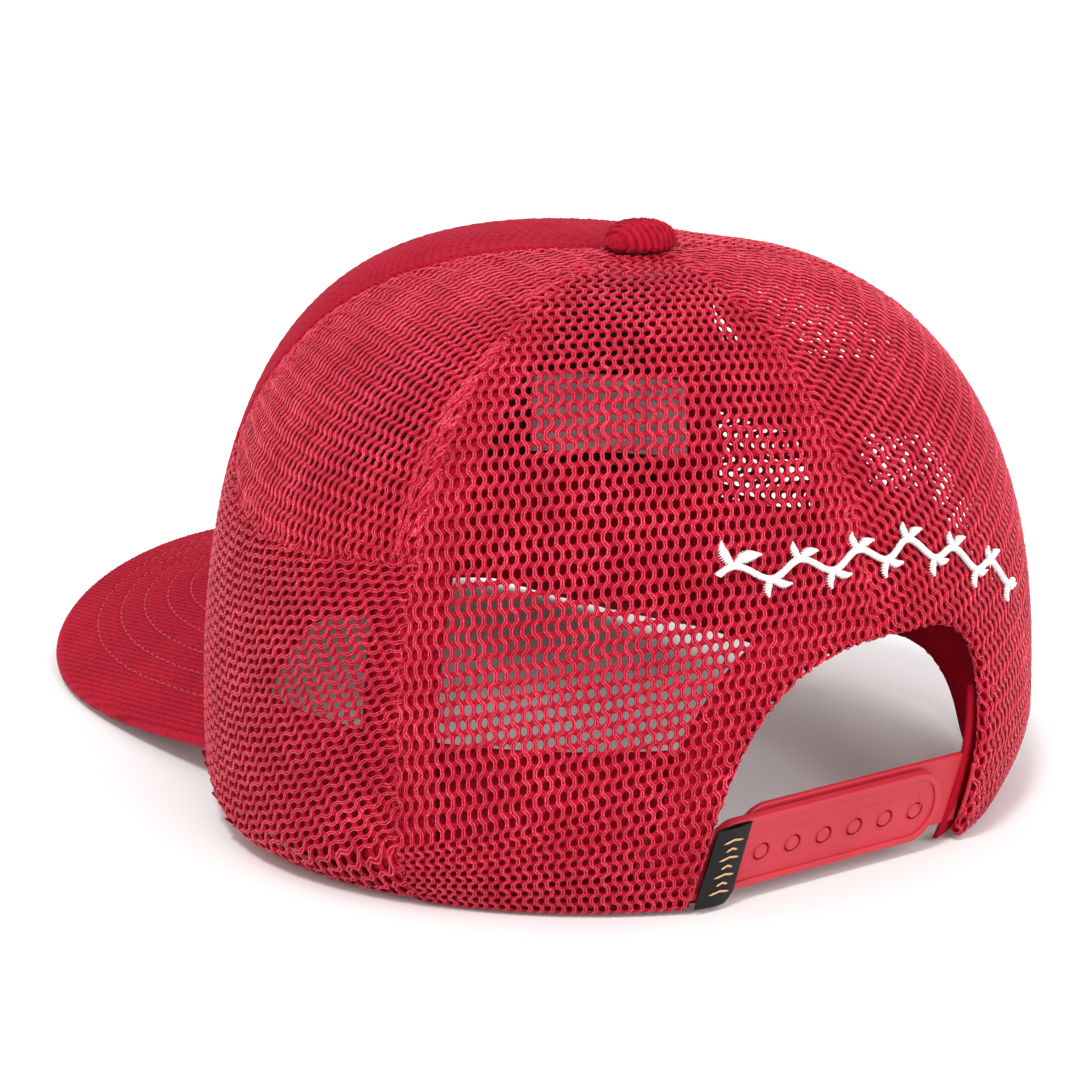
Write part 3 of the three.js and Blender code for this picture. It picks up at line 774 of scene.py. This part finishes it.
def rib_uv(across, along):
    """A flat map of a corduroy piece in millimetres, as its UV."""
    return np.stack(np.broadcast_arrays(across / RIB_SPAN + 0.5, along / RIB_SPAN + 0.5), -1).reshape(-1, 2)


def pile(across, along):
    """Uneven pile, as millimetres of depth."""
    ridge = np.floor(across / WALE + 0.5)
    return 0.05 * np.sin(1.9 * along + 2.4 * ridge) + 0.04 * np.sin(4.3 * along - 1.7 * ridge)


FOOT_SINK = 0.4                    # the front panel's foot goes this far into the visor's top cloth
FOOT_SHARE = 0.12


def add_front_panel():
    """The corduroy front, tucked at its seams, with its foot let down on to the visor."""
    columns, rows = 700, 84
    u, v = grid(columns, rows, -1)
    top = height_at_radius(u[:, 0] * FRONT_SEAM, TOP_RIM)[:, None]
    height = mix(-0.012, 1, v) * top
    angle = u * FRONT_SEAM
    radius = crown_ring(angle, height)[0]
    across = angle * radius
    gap = (FRONT_SEAM - np.abs(angle)) * radius
    tuck = 1.5 * np.clip(1 - gap / 2.0, 0, 1) ** 2
    line = 150 * v
    depth = 0.15 + tuck - wale(across) - pile(across, line)
    points = crown_point(angle, height, depth)
    foot = points[:, :1]
    drop = foot[..., 2] - visor_level(foot[..., 0], foot[..., 1]) + FOOT_SINK
    points[..., 2] -= np.clip(drop, 0, 5) * np.clip(1 - v / FOOT_SHARE, 0, 1)
    panel = to_mesh("front_corduroy", points, grid_faces(columns, rows), CORDUROY, "cap",
                    rib_uv(across, line - 75))
    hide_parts("front_panel")


def visor_level(x, y):
    front = series(EDGE_RADIUS, 0.0)
    return VISOR_ROOT_Z - VISOR_ARCH * x * x - VISOR_SLOPE * (-y - front)


def visor_contour(share, inset):
    """A place on the visor's outline moved inwards by inset; share runs from -1 to 1 across it."""
    power = 2 / VISOR_POWER
    cross = np.sin(share * math.pi / 2)
    turn = np.arcsin(np.clip(np.abs(cross) ** (1 / power), 0, 1))
    length = series(EDGE_RADIUS, 0.0) + VISOR_LENGTH + VISOR_ROOT_Y
    x = (VISOR_HALF_WIDTH - inset) * cross
    y = VISOR_ROOT_Y - (length - inset) * np.cos(turn) ** power
    return x, y


def visor_reach(share):
    """How far in from the outline the visor runs before it meets the crown."""
    def outside(inset):
        x, y = visor_contour(share, inset)
        angle = np.arctan2(x, -y)
        height = height_at_level(angle, visor_level(x, y))
        radius = crown_ring(angle, height)[0]
        return np.hypot(x, y) > radius + 0.3
    return bisect(0, 90, outside, share.shape)


VISOR_ROWS = tuple(9.5 + 5.2 * k for k in range(9))
RIM_STEPS = 6                      # points round the visor's rounded rim
STITCH_PITCH, STITCH_LENGTH = 3.1, 2.3
STITCH_DIP = (-0.45, -0.2, -0.12, -0.2, -0.45)


def visor_face(columns, rows, under):
    """One face of the visor as a grid, from its rounded rim to the crown."""
    share = np.linspace(-1, 1, columns + 1)
    reach = visor_reach(share)[:, None]
    rim = VISOR_THICKNESS / 2
    arc = np.linspace(1, 0, RIM_STEPS) * math.pi / 2
    inset = np.empty((columns + 1, rows + RIM_STEPS))
    inset[:, :RIM_STEPS] = rim - rim * np.sin(arc)
    inset[:, RIM_STEPS:] = mix(rim, reach, np.linspace(0, 1, rows + 1)[None, 1:])
    drop = np.zeros_like(inset)
    drop[:, :RIM_STEPS] = rim - rim * np.cos(arc)
    x, y = visor_contour(share[:, None], inset)
    groove = sum(np.exp(-((inset - row) / 0.55) ** 2) for row in VISOR_ROWS)
    relief = wale(x) + pile(x, y) - 0.35 * groove
    sign = -1 if under else 1
    z = visor_level(x, y) - rim + sign * (rim - drop + relief * np.clip(1 - drop / rim, 0.3, 1))
    return np.stack([x, y, z], -1)


def add_visor():
    for name, node, columns, rows, under in (
            ("visor_top_corduroy", "visor_top_cover", 800, 110, False),
            ("visor_under_corduroy", "visor_under_cover", 640, 70, True)):
        points = visor_face(columns, rows, under)
        faces = grid_faces(columns, rows + RIM_STEPS - 1)
        piece = to_mesh(name, points, faces if under else faces[:, ::-1], CORDUROY, "cap",
                        rib_uv(points[..., 0], points[..., 1] + 110))
        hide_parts(node)
    add_visor_stitches()


def add_visor_stitches():
    share = np.linspace(-1, 1, 900)
    paths = []
    for row in VISOR_ROWS:
        x, y = visor_contour(share, row)
        open_here = visor_reach(share) > row + 1
        x, y = x[open_here], y[open_here]
        line = np.stack([x, y, visor_level(x, y)], -1)
        run = run_along(line)
        for start in np.arange(0.5, run[-1] - STITCH_LENGTH, STITCH_PITCH):
            at = start + np.linspace(0, STITCH_LENGTH, len(STITCH_DIP))
            path = points_at(line, run, at)
            path[:, 2] += STITCH_DIP
            paths.append(path)
    points, faces = tubes(paths, 0.24, 5)
    to_mesh("visor_stitches", points, faces, STITCH, "cap")


BUTTON_RIBS = 0.75                 # the button's ridges are wider than the front panel's
BUTTON_RADIUS, BUTTON_RISE, BUTTON_LEVEL = 8.0, 4.6, 1.3


def add_button():
    """The cloth-covered button, a squashed dome that turns in under its widest ring."""
    columns, rows = 260, 60
    round_it = np.arange(columns) / columns * 2 * math.pi
    turn, v = np.meshgrid(round_it, np.linspace(0, 1, rows + 1), indexing="ij")
    wide, tall, level = BUTTON_RADIUS, BUTTON_RISE, BUTTON_LEVEL
    lift = mix(-0.32, 1, v) * math.pi / 2
    radius = wide * np.cos(lift).clip(0, 1) ** 0.66
    z = level + tall * np.sin(lift) * np.where(lift < 0, 0.5, 1)
    x, y = radius * np.sin(turn), radius * np.cos(turn)
    out = unit(np.stack([x / wide ** 2, y / wide ** 2, (z - level) / tall ** 2], -1))
    gather = 0.15 * np.sin(13 * turn) * np.clip(1 - v * 2.5, 0, 1)
    relief = 1.6 * wale(BUTTON_RIBS * x + 0.25 * np.sin(0.7 * y)) + 1.5 * pile(x, y) + gather
    points = np.stack([x, y + TOP_SHIFT, z + CROWN_HEIGHT], -1) + out * relief[..., None]
    faces = grid_faces(columns, rows, wrap=True)
    button = to_mesh("button_corduroy", points, faces[:, ::-1], CORDUROY, "cap",
                     rib_uv(BUTTON_RIBS * x, y))
    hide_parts("top_button")


# ---- cloth inside ----

TAPE_DEPTH = (1.4, 2.0)            # nearer to the panels than the part's tapes
TAPE_FOOT, TAPE_TOP = 0.01, 0.9


def add_layer(name, node, columns, rows, depths, place, material):
    """A closed layer of cloth inside the crown: place(u, v) gives an angle and a height."""
    def point(u, v, side):
        angle, height = place(u, v)
        ripple = 0.12 * np.sin(9 * u * math.pi + 2 * v) * np.sin(math.pi * v)
        edge = 0.12 * (2 * side - 1) * (np.abs(2 * v - 1) ** 8)
        return crown_point(angle, height, depths[side] + ripple - edge)
    points, faces = shell(columns, rows, point)
    layer = to_mesh(name, points, faces[:, ::-1], material, "cap")
    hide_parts(node)


def add_tape(name, node, seam, foot, width):
    """A tape behind a seam, from the foot's height up to near the button."""
    def place(u, v):
        height = mix(foot, TAPE_TOP, u)
        radius = crown_ring(np.full_like(height, seam), height)[0]
        return seam + (v - 0.5) * width / np.maximum(radius, 58), height
    add_layer(name, node, 70, 6, TAPE_DEPTH, place, TWILL)


def add_inside():
    for side, sign in (("left", 1), ("right", -1)):
        add_tape(f"{side}_front_tape", f"{side}_front_seam_tape", sign * FRONT_SEAM, TAPE_FOOT, 17)
        add_tape(f"{side}_rear_tape", f"{side}_rear_seam_tape", sign * REAR_SEAM, TAPE_FOOT, 18)

        def across(u, v, sign=sign):
            angle = mix(FRONT_SEAM + 0.1, REAR_SEAM - 0.1, u)
            return sign * angle, SIDE_SPLIT + (v - 0.5) * 0.125
        add_layer(f"{side}_side_tape", f"{side}_side_seam_tape", 60, 6, TAPE_DEPTH, across, TWILL)
    _, clear = back_place(0.0, ARCH_HEIGHT + BINDING_WIDTH)
    add_tape("back_tape", "centre_back_tape", math.pi, float(clear), 14)

    def round_arch(u, v):
        foot = math.asin((BINDING_FOOT / ARCH_HEIGHT) ** (ARCH_POWER / 2))
        return arch_line(mix(foot, math.pi - foot, u), ARCH_LEAN, mix(0.8, BINDING_WIDTH, v))
    add_layer("arch_tape", "arch_binding", 120, 6, (1.4, 1.9), round_arch, TWILL)

    def band(u, v):
        angle = mix(-1, 1, u) * math.radians(157.5)
        tall = 36 - 11 * front_share(angle)
        hang = 3.5 * front_share(angle) * (1 - v)
        return angle, height_at_level(angle, edge_level(angle) + 0.8 - hang + v * tall)
    add_layer("sweatband_cloth", "sweatband", 260, 10, (4.1, 5.3), band, BAND)

    def lining(u, v):
        angle = mix(-1, 1, u) * (FRONT_SEAM - 0.02)
        return angle, mix(0.005, 0.96, v)
    add_layer("front_lining", "front_buckram", 60, 50, (1.4, 1.8), lining, BUCKRAM)

    def patch(u, v):
        angle = mix(math.radians(-50.5), math.radians(-25), u)
        return angle, height_at_level(angle, mix(53, 74, v))
    add_layer("front_patch", "inner_front_patch", 40, 24, (3.2, 3.7), patch, PATCH)


# ---- snap closure ----

def at_back():
    """Stands flat work (x to the wearer's right, y up, z out) at the back of the cap."""
    up = Matrix.Rotation(math.pi / 2 + STRAP_TILT, 4, "X")
    turn = Matrix.Rotation(math.pi, 4, "Z")
    place = Vector(STRAP_CENTRE) + Vector((0, FRAME_SHIFT, 0))
    return Matrix.Translation(place * MM) @ turn @ up @ Matrix.Scale(MM, 4)


def plate(outlines, low, high, bevel):
    """Points and faces of a flat plate with rounded edges, from closed outlines with holes in them."""
    curve = bpy.data.curves.new("plate", "CURVE")
    curve.dimensions = "2D"
    curve.fill_mode = "BOTH"
    curve.extrude = (high - low) / 2 - bevel
    curve.bevel_depth = bevel
    curve.bevel_resolution = 2
    curve.offset = -bevel
    for outline in outlines:
        spline = curve.splines.new("POLY")
        spline.points.add(len(outline) - 1)
        spline.points.foreach_set("co", np.array([(x, y, 0, 1) for x, y in outline], float).ravel())
        spline.use_cyclic_u = True
    obj = bpy.data.objects.new("plate", curve)
    bpy.context.scene.collection.objects.link(obj)
    bpy.context.view_layer.update()
    mesh = bpy.data.meshes.new_from_object(obj.evaluated_get(bpy.context.evaluated_depsgraph_get()))
    bpy.data.objects.remove(obj)
    mesh.transform(Matrix.Translation((0, 0, (low + high) / 2)))
    return mesh


def circle(x, y, radius, count=28):
    turn = np.arange(count) / count * 2 * math.pi
    return [(x + radius * math.cos(t), y + radius * math.sin(t)) for t in turn]


def strap_outline(root, tip, height, inset=0.0, shoulder=0.0):
    """Square at the root and round at the tip. A shoulder narrows the top beside the root."""
    half = height / 2 - inset
    way = math.copysign(1, tip - root)
    centre = tip - way * (half + inset) * 0.8
    start = root + way * inset
    points = [(start, -half)]
    if shoulder:
        points += [(start, half - shoulder)]
        for k in range(9):
            share = k / 8
            ease = share * share * (3 - 2 * share)
            points.append((start + way * (3 + 6 * share), half - shoulder * (1 - ease)))
    else:
        points.append((start, half))
    for k in range(33):
        turn = k / 32 * math.pi
        reach = (half + inset) * 0.8 - inset
        points.append((centre + way * reach * math.sin(turn), half * math.cos(turn)))
    return points


def put_plates(name, meshes, material, body, transform):
    """Joins meshes made in flat millimetres and places them."""
    mesh = bpy.data.meshes.new(name)
    verts, faces = [], []
    for part in meshes:
        start = len(verts)
        verts += [v.co.copy() for v in part.vertices]
        faces += [[start + k for k in polygon.vertices] for polygon in part.polygons]
        bpy.data.meshes.remove(part)
    mesh.from_pydata(verts, [], faces)
    mesh.transform(transform)
    obj = add_object(name, mesh, material, body)
    mesh.set_sharp_from_angle(angle=math.radians(38))
    return obj


def plate_from(points, faces):
    mesh = bpy.data.meshes.new("part")
    mesh.from_pydata([tuple(p) for p in points], [], [list(f) for f in faces])
    return mesh


PEG_PLACES = [STRAP_FIRST - k * STRAP_PITCH for k in range(7)]
ROOT_REACH = 1.5                   # the outer strap runs this far under the net beside the arch
SHOULDER = 2.6
HOLE_RADIUS, LIP_RADIUS, PEG_RADIUS = 2.1, 2.35, 1.8   # the part's holes are 2.5 and its pegs 1.95
INNER_FACE = -STRAP_GAP
STRAP_RISE = 0.9                   # the inner strap stands this much higher than the outer one


def moulded_line(points, radius):
    """A low moulded ridge along points."""
    return plate_from(*tubes([points], radius, 6, 0.8))


def strap_ridges():
    """The two fine ridges that run along the outer strap, above and below its holes."""
    root = -STRAP_ROOT - ROOT_REACH + 4
    upper = np.array([(x, y, OUTER_THICKNESS)
                      for x, y in strap_outline(root, OUTER_TIP, STRAP_HEIGHT, 5.2)[1:22]])
    start = strap_outline(root, OUTER_TIP, STRAP_HEIGHT, 3.0)[0][0]
    low = -STRAP_HEIGHT / 2 + 3.4
    lower = np.array([(start, low, OUTER_THICKNESS), (OUTER_TIP - 8, low, OUTER_THICKNESS)])
    for line in (upper, lower):
        steps = [np.linspace(a, b, 6, endpoint=False) for a, b in zip(line[:-1], line[1:])]
        yield moulded_line(np.concatenate([*steps, line[-1:]]), 0.22)


def add_outer_strap():
    root = -STRAP_ROOT - ROOT_REACH
    outline = strap_outline(root, OUTER_TIP, STRAP_HEIGHT, shoulder=SHOULDER)
    holes = [circle(x, -HOLE_DROP, HOLE_RADIUS) for x in PEG_PLACES]
    web = plate([outline, *holes], 0, OUTER_THICKNESS, 0.16)
    inner = strap_outline(root, OUTER_TIP, STRAP_HEIGHT, 1.5, shoulder=SHOULDER)
    rim = plate([outline, inner], OUTER_THICKNESS - 0.2, OUTER_THICKNESS + RIM_HEIGHT, 0.2)
    turn = np.linspace(0, 2 * math.pi, 41)
    ring = np.stack([np.cos(turn), np.sin(turn), np.zeros(41)], -1) * LIP_RADIUS
    lips = [moulded_line(ring + (x, -HOLE_DROP, OUTER_THICKNESS - 0.02), 0.2) for x in PEG_PLACES]
    strap = put_plates("outer_strap_moulding", [web, rim, *strap_ridges(), *lips], PLASTIC, "outer_strap",
                       at_back())
    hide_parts("outer_strap")


def add_inner_strap():
    """The pegged strap. A thinner tongue carries its root under the net, so it can swing."""
    back_face = INNER_FACE - INNER_THICKNESS
    back = plate([strap_outline(STRAP_ROOT + 0.2, INNER_TIP, STRAP_HEIGHT)], back_face, INNER_FACE, 0.3)
    half = STRAP_HEIGHT / 2 - 0.6
    near, end = STRAP_ROOT - 0.5, STRAP_ROOT + 1.0
    tongue = plate([[(end, -half), (end, half), (near, half), (near, -half)]],
                   back_face, INNER_FACE - 0.7, 0.1)
    pegs = [plate([circle(x, -HOLE_DROP - STRAP_RISE, PEG_RADIUS)], INNER_FACE - 0.1, OUTER_THICKNESS, 0.4)
            for x in PEG_PLACES[:6]]
    strap = put_plates("inner_strap_moulding", [back, tongue, *pegs], PLASTIC, "inner_strap",
                       at_back() @ Matrix.Translation((0, STRAP_RISE, 0)))
    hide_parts("inner_strap")


def add_strap_ends():
    for side, sign in (("left", 1), ("right", -1)):
        def tail(u, v, side_index, sign=sign):
            along = STRAP_ROOT + 1 + u * 12
            depth = mix(1.8, 2.8, np.minimum(u * 2, 1)) + side_index * 0.9
            level = STRAP_CENTRE[2] + (v - 0.5) * (STRAP_HEIGHT - 3)
            return crown_point(*back_place(sign * along, level), depth)
        points, faces = shell(16, 8, tail)
        piece = to_mesh(f"{side}_strap_end", points, faces if side == "left" else faces[:, ::-1], PLASTIC,
                        "cap")
        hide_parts(f"{side}_strap_tail")


# ---- label ----

LABEL_WIDTH, LABEL_TALL, LABEL_SLANT, LABEL_ROOT, LABEL_DROP = 9.4, 18.6, 2.6, 36.2, 1.0
LABEL_LEVEL = OUTER_THICKNESS + RIM_HEIGHT + 0.8
MARK_FOOT, MARK_PITCH = 3.2, 2.0


def label_gape(share):
    """Half of the room between the loop's two sides, at a share of the way from its root."""
    return 0.42 * np.sin(math.pi * np.clip(share, 0, 1)) + 0.14


def label_wave(share, rise):
    return 0.25 * np.sin(2.2 * share + 2 * rise)


def add_label():
    """A folded loop of satin ribbon."""
    columns, rows = 24, 40
    u, v = grid(2 * columns, rows)
    share = 1 - np.abs(2 * u - 1)
    corner = 1.6 * np.clip(1 - v * LABEL_TALL / 3.2, 0, 1) ** 2 * share ** 3
    x = -LABEL_ROOT + LABEL_SLANT * v + (LABEL_WIDTH - corner) * share
    y = LABEL_TALL * (v - 0.5) - LABEL_DROP
    side = np.where(u < 0.5, 1, -1)
    z = LABEL_LEVEL + side * label_gape(share) * (0.75 + 0.25 * v) + label_wave(share, v)
    points = np.stack([x, y, z], -1).reshape(-1, 3)
    satin = put_plates("label_loop", [plate_from(points, grid_faces(2 * columns, rows))], SATIN,
                       "flag_label", at_back())
    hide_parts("flag_label")


def add_label_marks():
    """Seven small chevrons woven into the label, long and short by turns."""
    turn = np.linspace(-1, 1, 7)
    paths = []
    for k in range(7):
        foot = MARK_FOOT + k * MARK_PITCH
        rise = foot / LABEL_TALL
        root = -LABEL_ROOT + LABEL_SLANT * rise
        x = root + LABEL_WIDTH * 0.52 + turn * (1.5 if k % 2 else 2.6)
        y = np.full(7, foot - LABEL_TALL / 2 - LABEL_DROP) + 0.6 * (1 - np.abs(turn))
        share = (x - root) / LABEL_WIDTH
        z = LABEL_LEVEL + label_gape(share) + label_wave(share, rise) + 0.08
        paths.append(np.stack([x, y, z], -1))
    put_plates("label_marks", [plate_from(*tubes(paths, 0.26, 6, 0.5))], TAN, "flag_label",
               at_back())


# ---- embroidery ----

VINE_START, VINE_END, VINE_BEND = 33.0, -50.0, -10.0
VINE_LEVEL, VINE_FALL, VINE_SWING, VINE_WAVES = 73.0, 16.5, 1.5, 6
STROKE = 0.68
CORE_RADIUS, THREAD_RADIUS = 0.6, 0.22
CORE_STEP, THREAD_STEP = 0.7, 0.36


def vine_level(x):
    past = np.clip(VINE_BEND - x, 0, None) / (VINE_BEND - VINE_END)
    return VINE_LEVEL - VINE_FALL * past ** 1.3


def leaf(x, level, lean, length):
    """A leaf's middle line from a place on the stem, leaning away from upright by an angle."""
    along = np.linspace(0, 1, 24)
    bend = lean + 0.5 * along
    return np.stack([x - length * along * np.sin(bend), level + length * along * np.cos(bend)], -1)


def vine_lines():
    """A stem, with a sprig of leaves at each of its bends, as lines of x and level with their widths."""
    share = np.linspace(0, 1, 600)
    x = mix(VINE_START, VINE_END, share)
    stem = np.stack([x, vine_level(x) + VINE_SWING * np.sin(share * VINE_WAVES * 2 * math.pi)], -1)
    lines = [(stem, 1.0, 0.0)]
    for k in range(VINE_WAVES * 2):
        centre = mix(VINE_START, VINE_END, (k + 0.5) / (VINE_WAVES * 2))
        up = -1 if k % 2 else 1
        foot = vine_level(centre) + up * VINE_SWING
        size = 1.45 if k == 0 else 1.0
        for lean, length in ((-0.85, 3.4), (0.75, 4.0)):
            line = leaf(centre, 0, lean, size * length)
            line[:, 1] = foot + up * line[:, 1]
            lines.append((line, 0.3, 1.05 * size))
    return lines


def evenly(line, pitch):
    """Evenly spaced places on a line, and the line's way at each."""
    run = run_along(line)
    spots = points_at(line, run, np.linspace(0, run[-1], max(6, int(run[-1] / pitch))))
    return spots, unit(np.gradient(spots, axis=0))


def add_embroidery():
    """A vine in padded satin stitch: a core along each line, and slanted stitches over it."""
    cores, core_outs, stitches, outs = [], [], [], []
    arc = np.linspace(-1, 1, 6)
    for line, narrow, swell in vine_lines():
        spots, _ = evenly(line, CORE_STEP)
        angle, height = back_place(spots[:, 0], spots[:, 1])
        cores.append(crown_point(angle, height, -0.35))
        core_outs.append(crown_normal(angle, height))
        spots, along = evenly(line, THREAD_STEP)
        side = np.stack([-along[:, 1], along[:, 0]], -1)
        belly = np.sin(np.linspace(0, math.pi, len(spots)))
        wide = STROKE * (narrow + swell * belly) * RNG.uniform(0.92, 1.08, len(spots))
        cross = spots[:, None] + side[:, None] * (wide[:, None] * arc)[..., None]
        cross += along[:, None] * (0.3 * arc)[None, :, None]
        angle, height = back_place(cross[..., 0], cross[..., 1])
        rise = 0.15 + 0.75 * np.sqrt(np.clip(1 - arc ** 2, 0, 1)) + RNG.normal(0, 0.05, (len(spots), 1))
        points = crown_point(angle, height, -rise)
        stitches += list(points)
        outs += list(crown_normal(angle, height))
    both = [tubes(cores, CORE_RADIUS, 8, 0.6, core_outs), tubes(stitches, THREAD_RADIUS, 5, 1.0, outs)]
    points, faces = joined(both)
    vine = to_mesh("back_vine", points, faces, WHITE, "cap")
    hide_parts("back_embroidery")


# ---- carried CAD nodes ----

def dress_cad():
    for node, material in (("visor_board", BOARD), ("button_rivet", STEEL)):
        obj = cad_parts[node]
        obj.data.materials.clear()
        obj.data.materials.append(material)


# ---- floor, light, camera ----

WORLD_STRENGTH, FLOOR_GLOW = 0.78, 0.03


def add_stage():
    bpy.ops.mesh.primitive_plane_add(size=6, location=(0, 0, -0.0002))
    floor = bpy.context.object
    floor.name = "floor"
    n = Nodes("floor_paper", 0.9, Emission_Color=(1, 1, 1, 1), Emission_Strength=FLOOR_GLOW)
    n.colour(n.noise(3), (0.3, (0.90, 0.90, 0.90)), (0.7, (0.92, 0.92, 0.92)))
    floor.data.materials.append(n.material)
    world = bpy.data.worlds.new("white")
    world.use_nodes = True
    world.node_tree.nodes["Background"].inputs["Color"].default_value = (1, 1, 1, 1)
    world.node_tree.nodes["Background"].inputs["Strength"].default_value = WORLD_STRENGTH
    bpy.context.scene.world = world


def add_sun(name, azimuth, elevation, spread, strength):
    """Soft light from a broad source far away."""
    data = bpy.data.lights.new(name, "SUN")
    data.angle = math.radians(spread)
    data.energy = strength
    obj = bpy.data.objects.new(name, data)
    source = towards(math.radians(azimuth), math.radians(elevation))
    obj.rotation_euler = source.to_track_quat("Z", "Y").to_euler()
    bpy.context.scene.collection.objects.link(obj)


def towards(azimuth, elevation):
    """Unit vector from the cap towards a place round it: 0 is in front, 90 at the wearer's left."""
    level = math.cos(elevation)
    return Vector((math.sin(azimuth) * level, -math.cos(azimuth) * level, math.sin(elevation)))


CAMERA_TARGET = (0.0, FRAME_SHIFT * MM, 0.055)
CAMERA_DISTANCE = 0.8772
CAMERA_LENS, CAMERA_SHIFT = 131.2, -0.0563
CAMERA_AZIMUTH, CAMERA_ELEVATION = math.radians(144), math.radians(16.05)


def add_camera():
    data = bpy.data.cameras.new("camera")
    data.sensor_width = 36
    data.lens = CAMERA_LENS
    data.shift_x = CAMERA_SHIFT
    back = towards(CAMERA_AZIMUTH, CAMERA_ELEVATION)
    obj = bpy.data.objects.new("camera", data)
    obj.location = Vector(CAMERA_TARGET) + back * CAMERA_DISTANCE
    obj.rotation_euler = (-back).to_track_quat("-Z", "Y").to_euler()
    bpy.context.scene.collection.objects.link(obj)
    bpy.context.scene.camera = obj


add_camera()
add_stage()
add_sun("key", 130, 58, 10, 1.5)
add_sun("fill", 190, 32, 50, 1.1)
bpy.context.scene.view_settings.view_transform = "Standard"
add_nets()
add_front_panel()
add_visor()
add_button()
add_inside()
add_outer_strap()
add_inner_strap()
add_strap_ends()
add_label()
add_label_marks()
add_embroidery()
dress_cad()

bpy.context.view_layer.update()
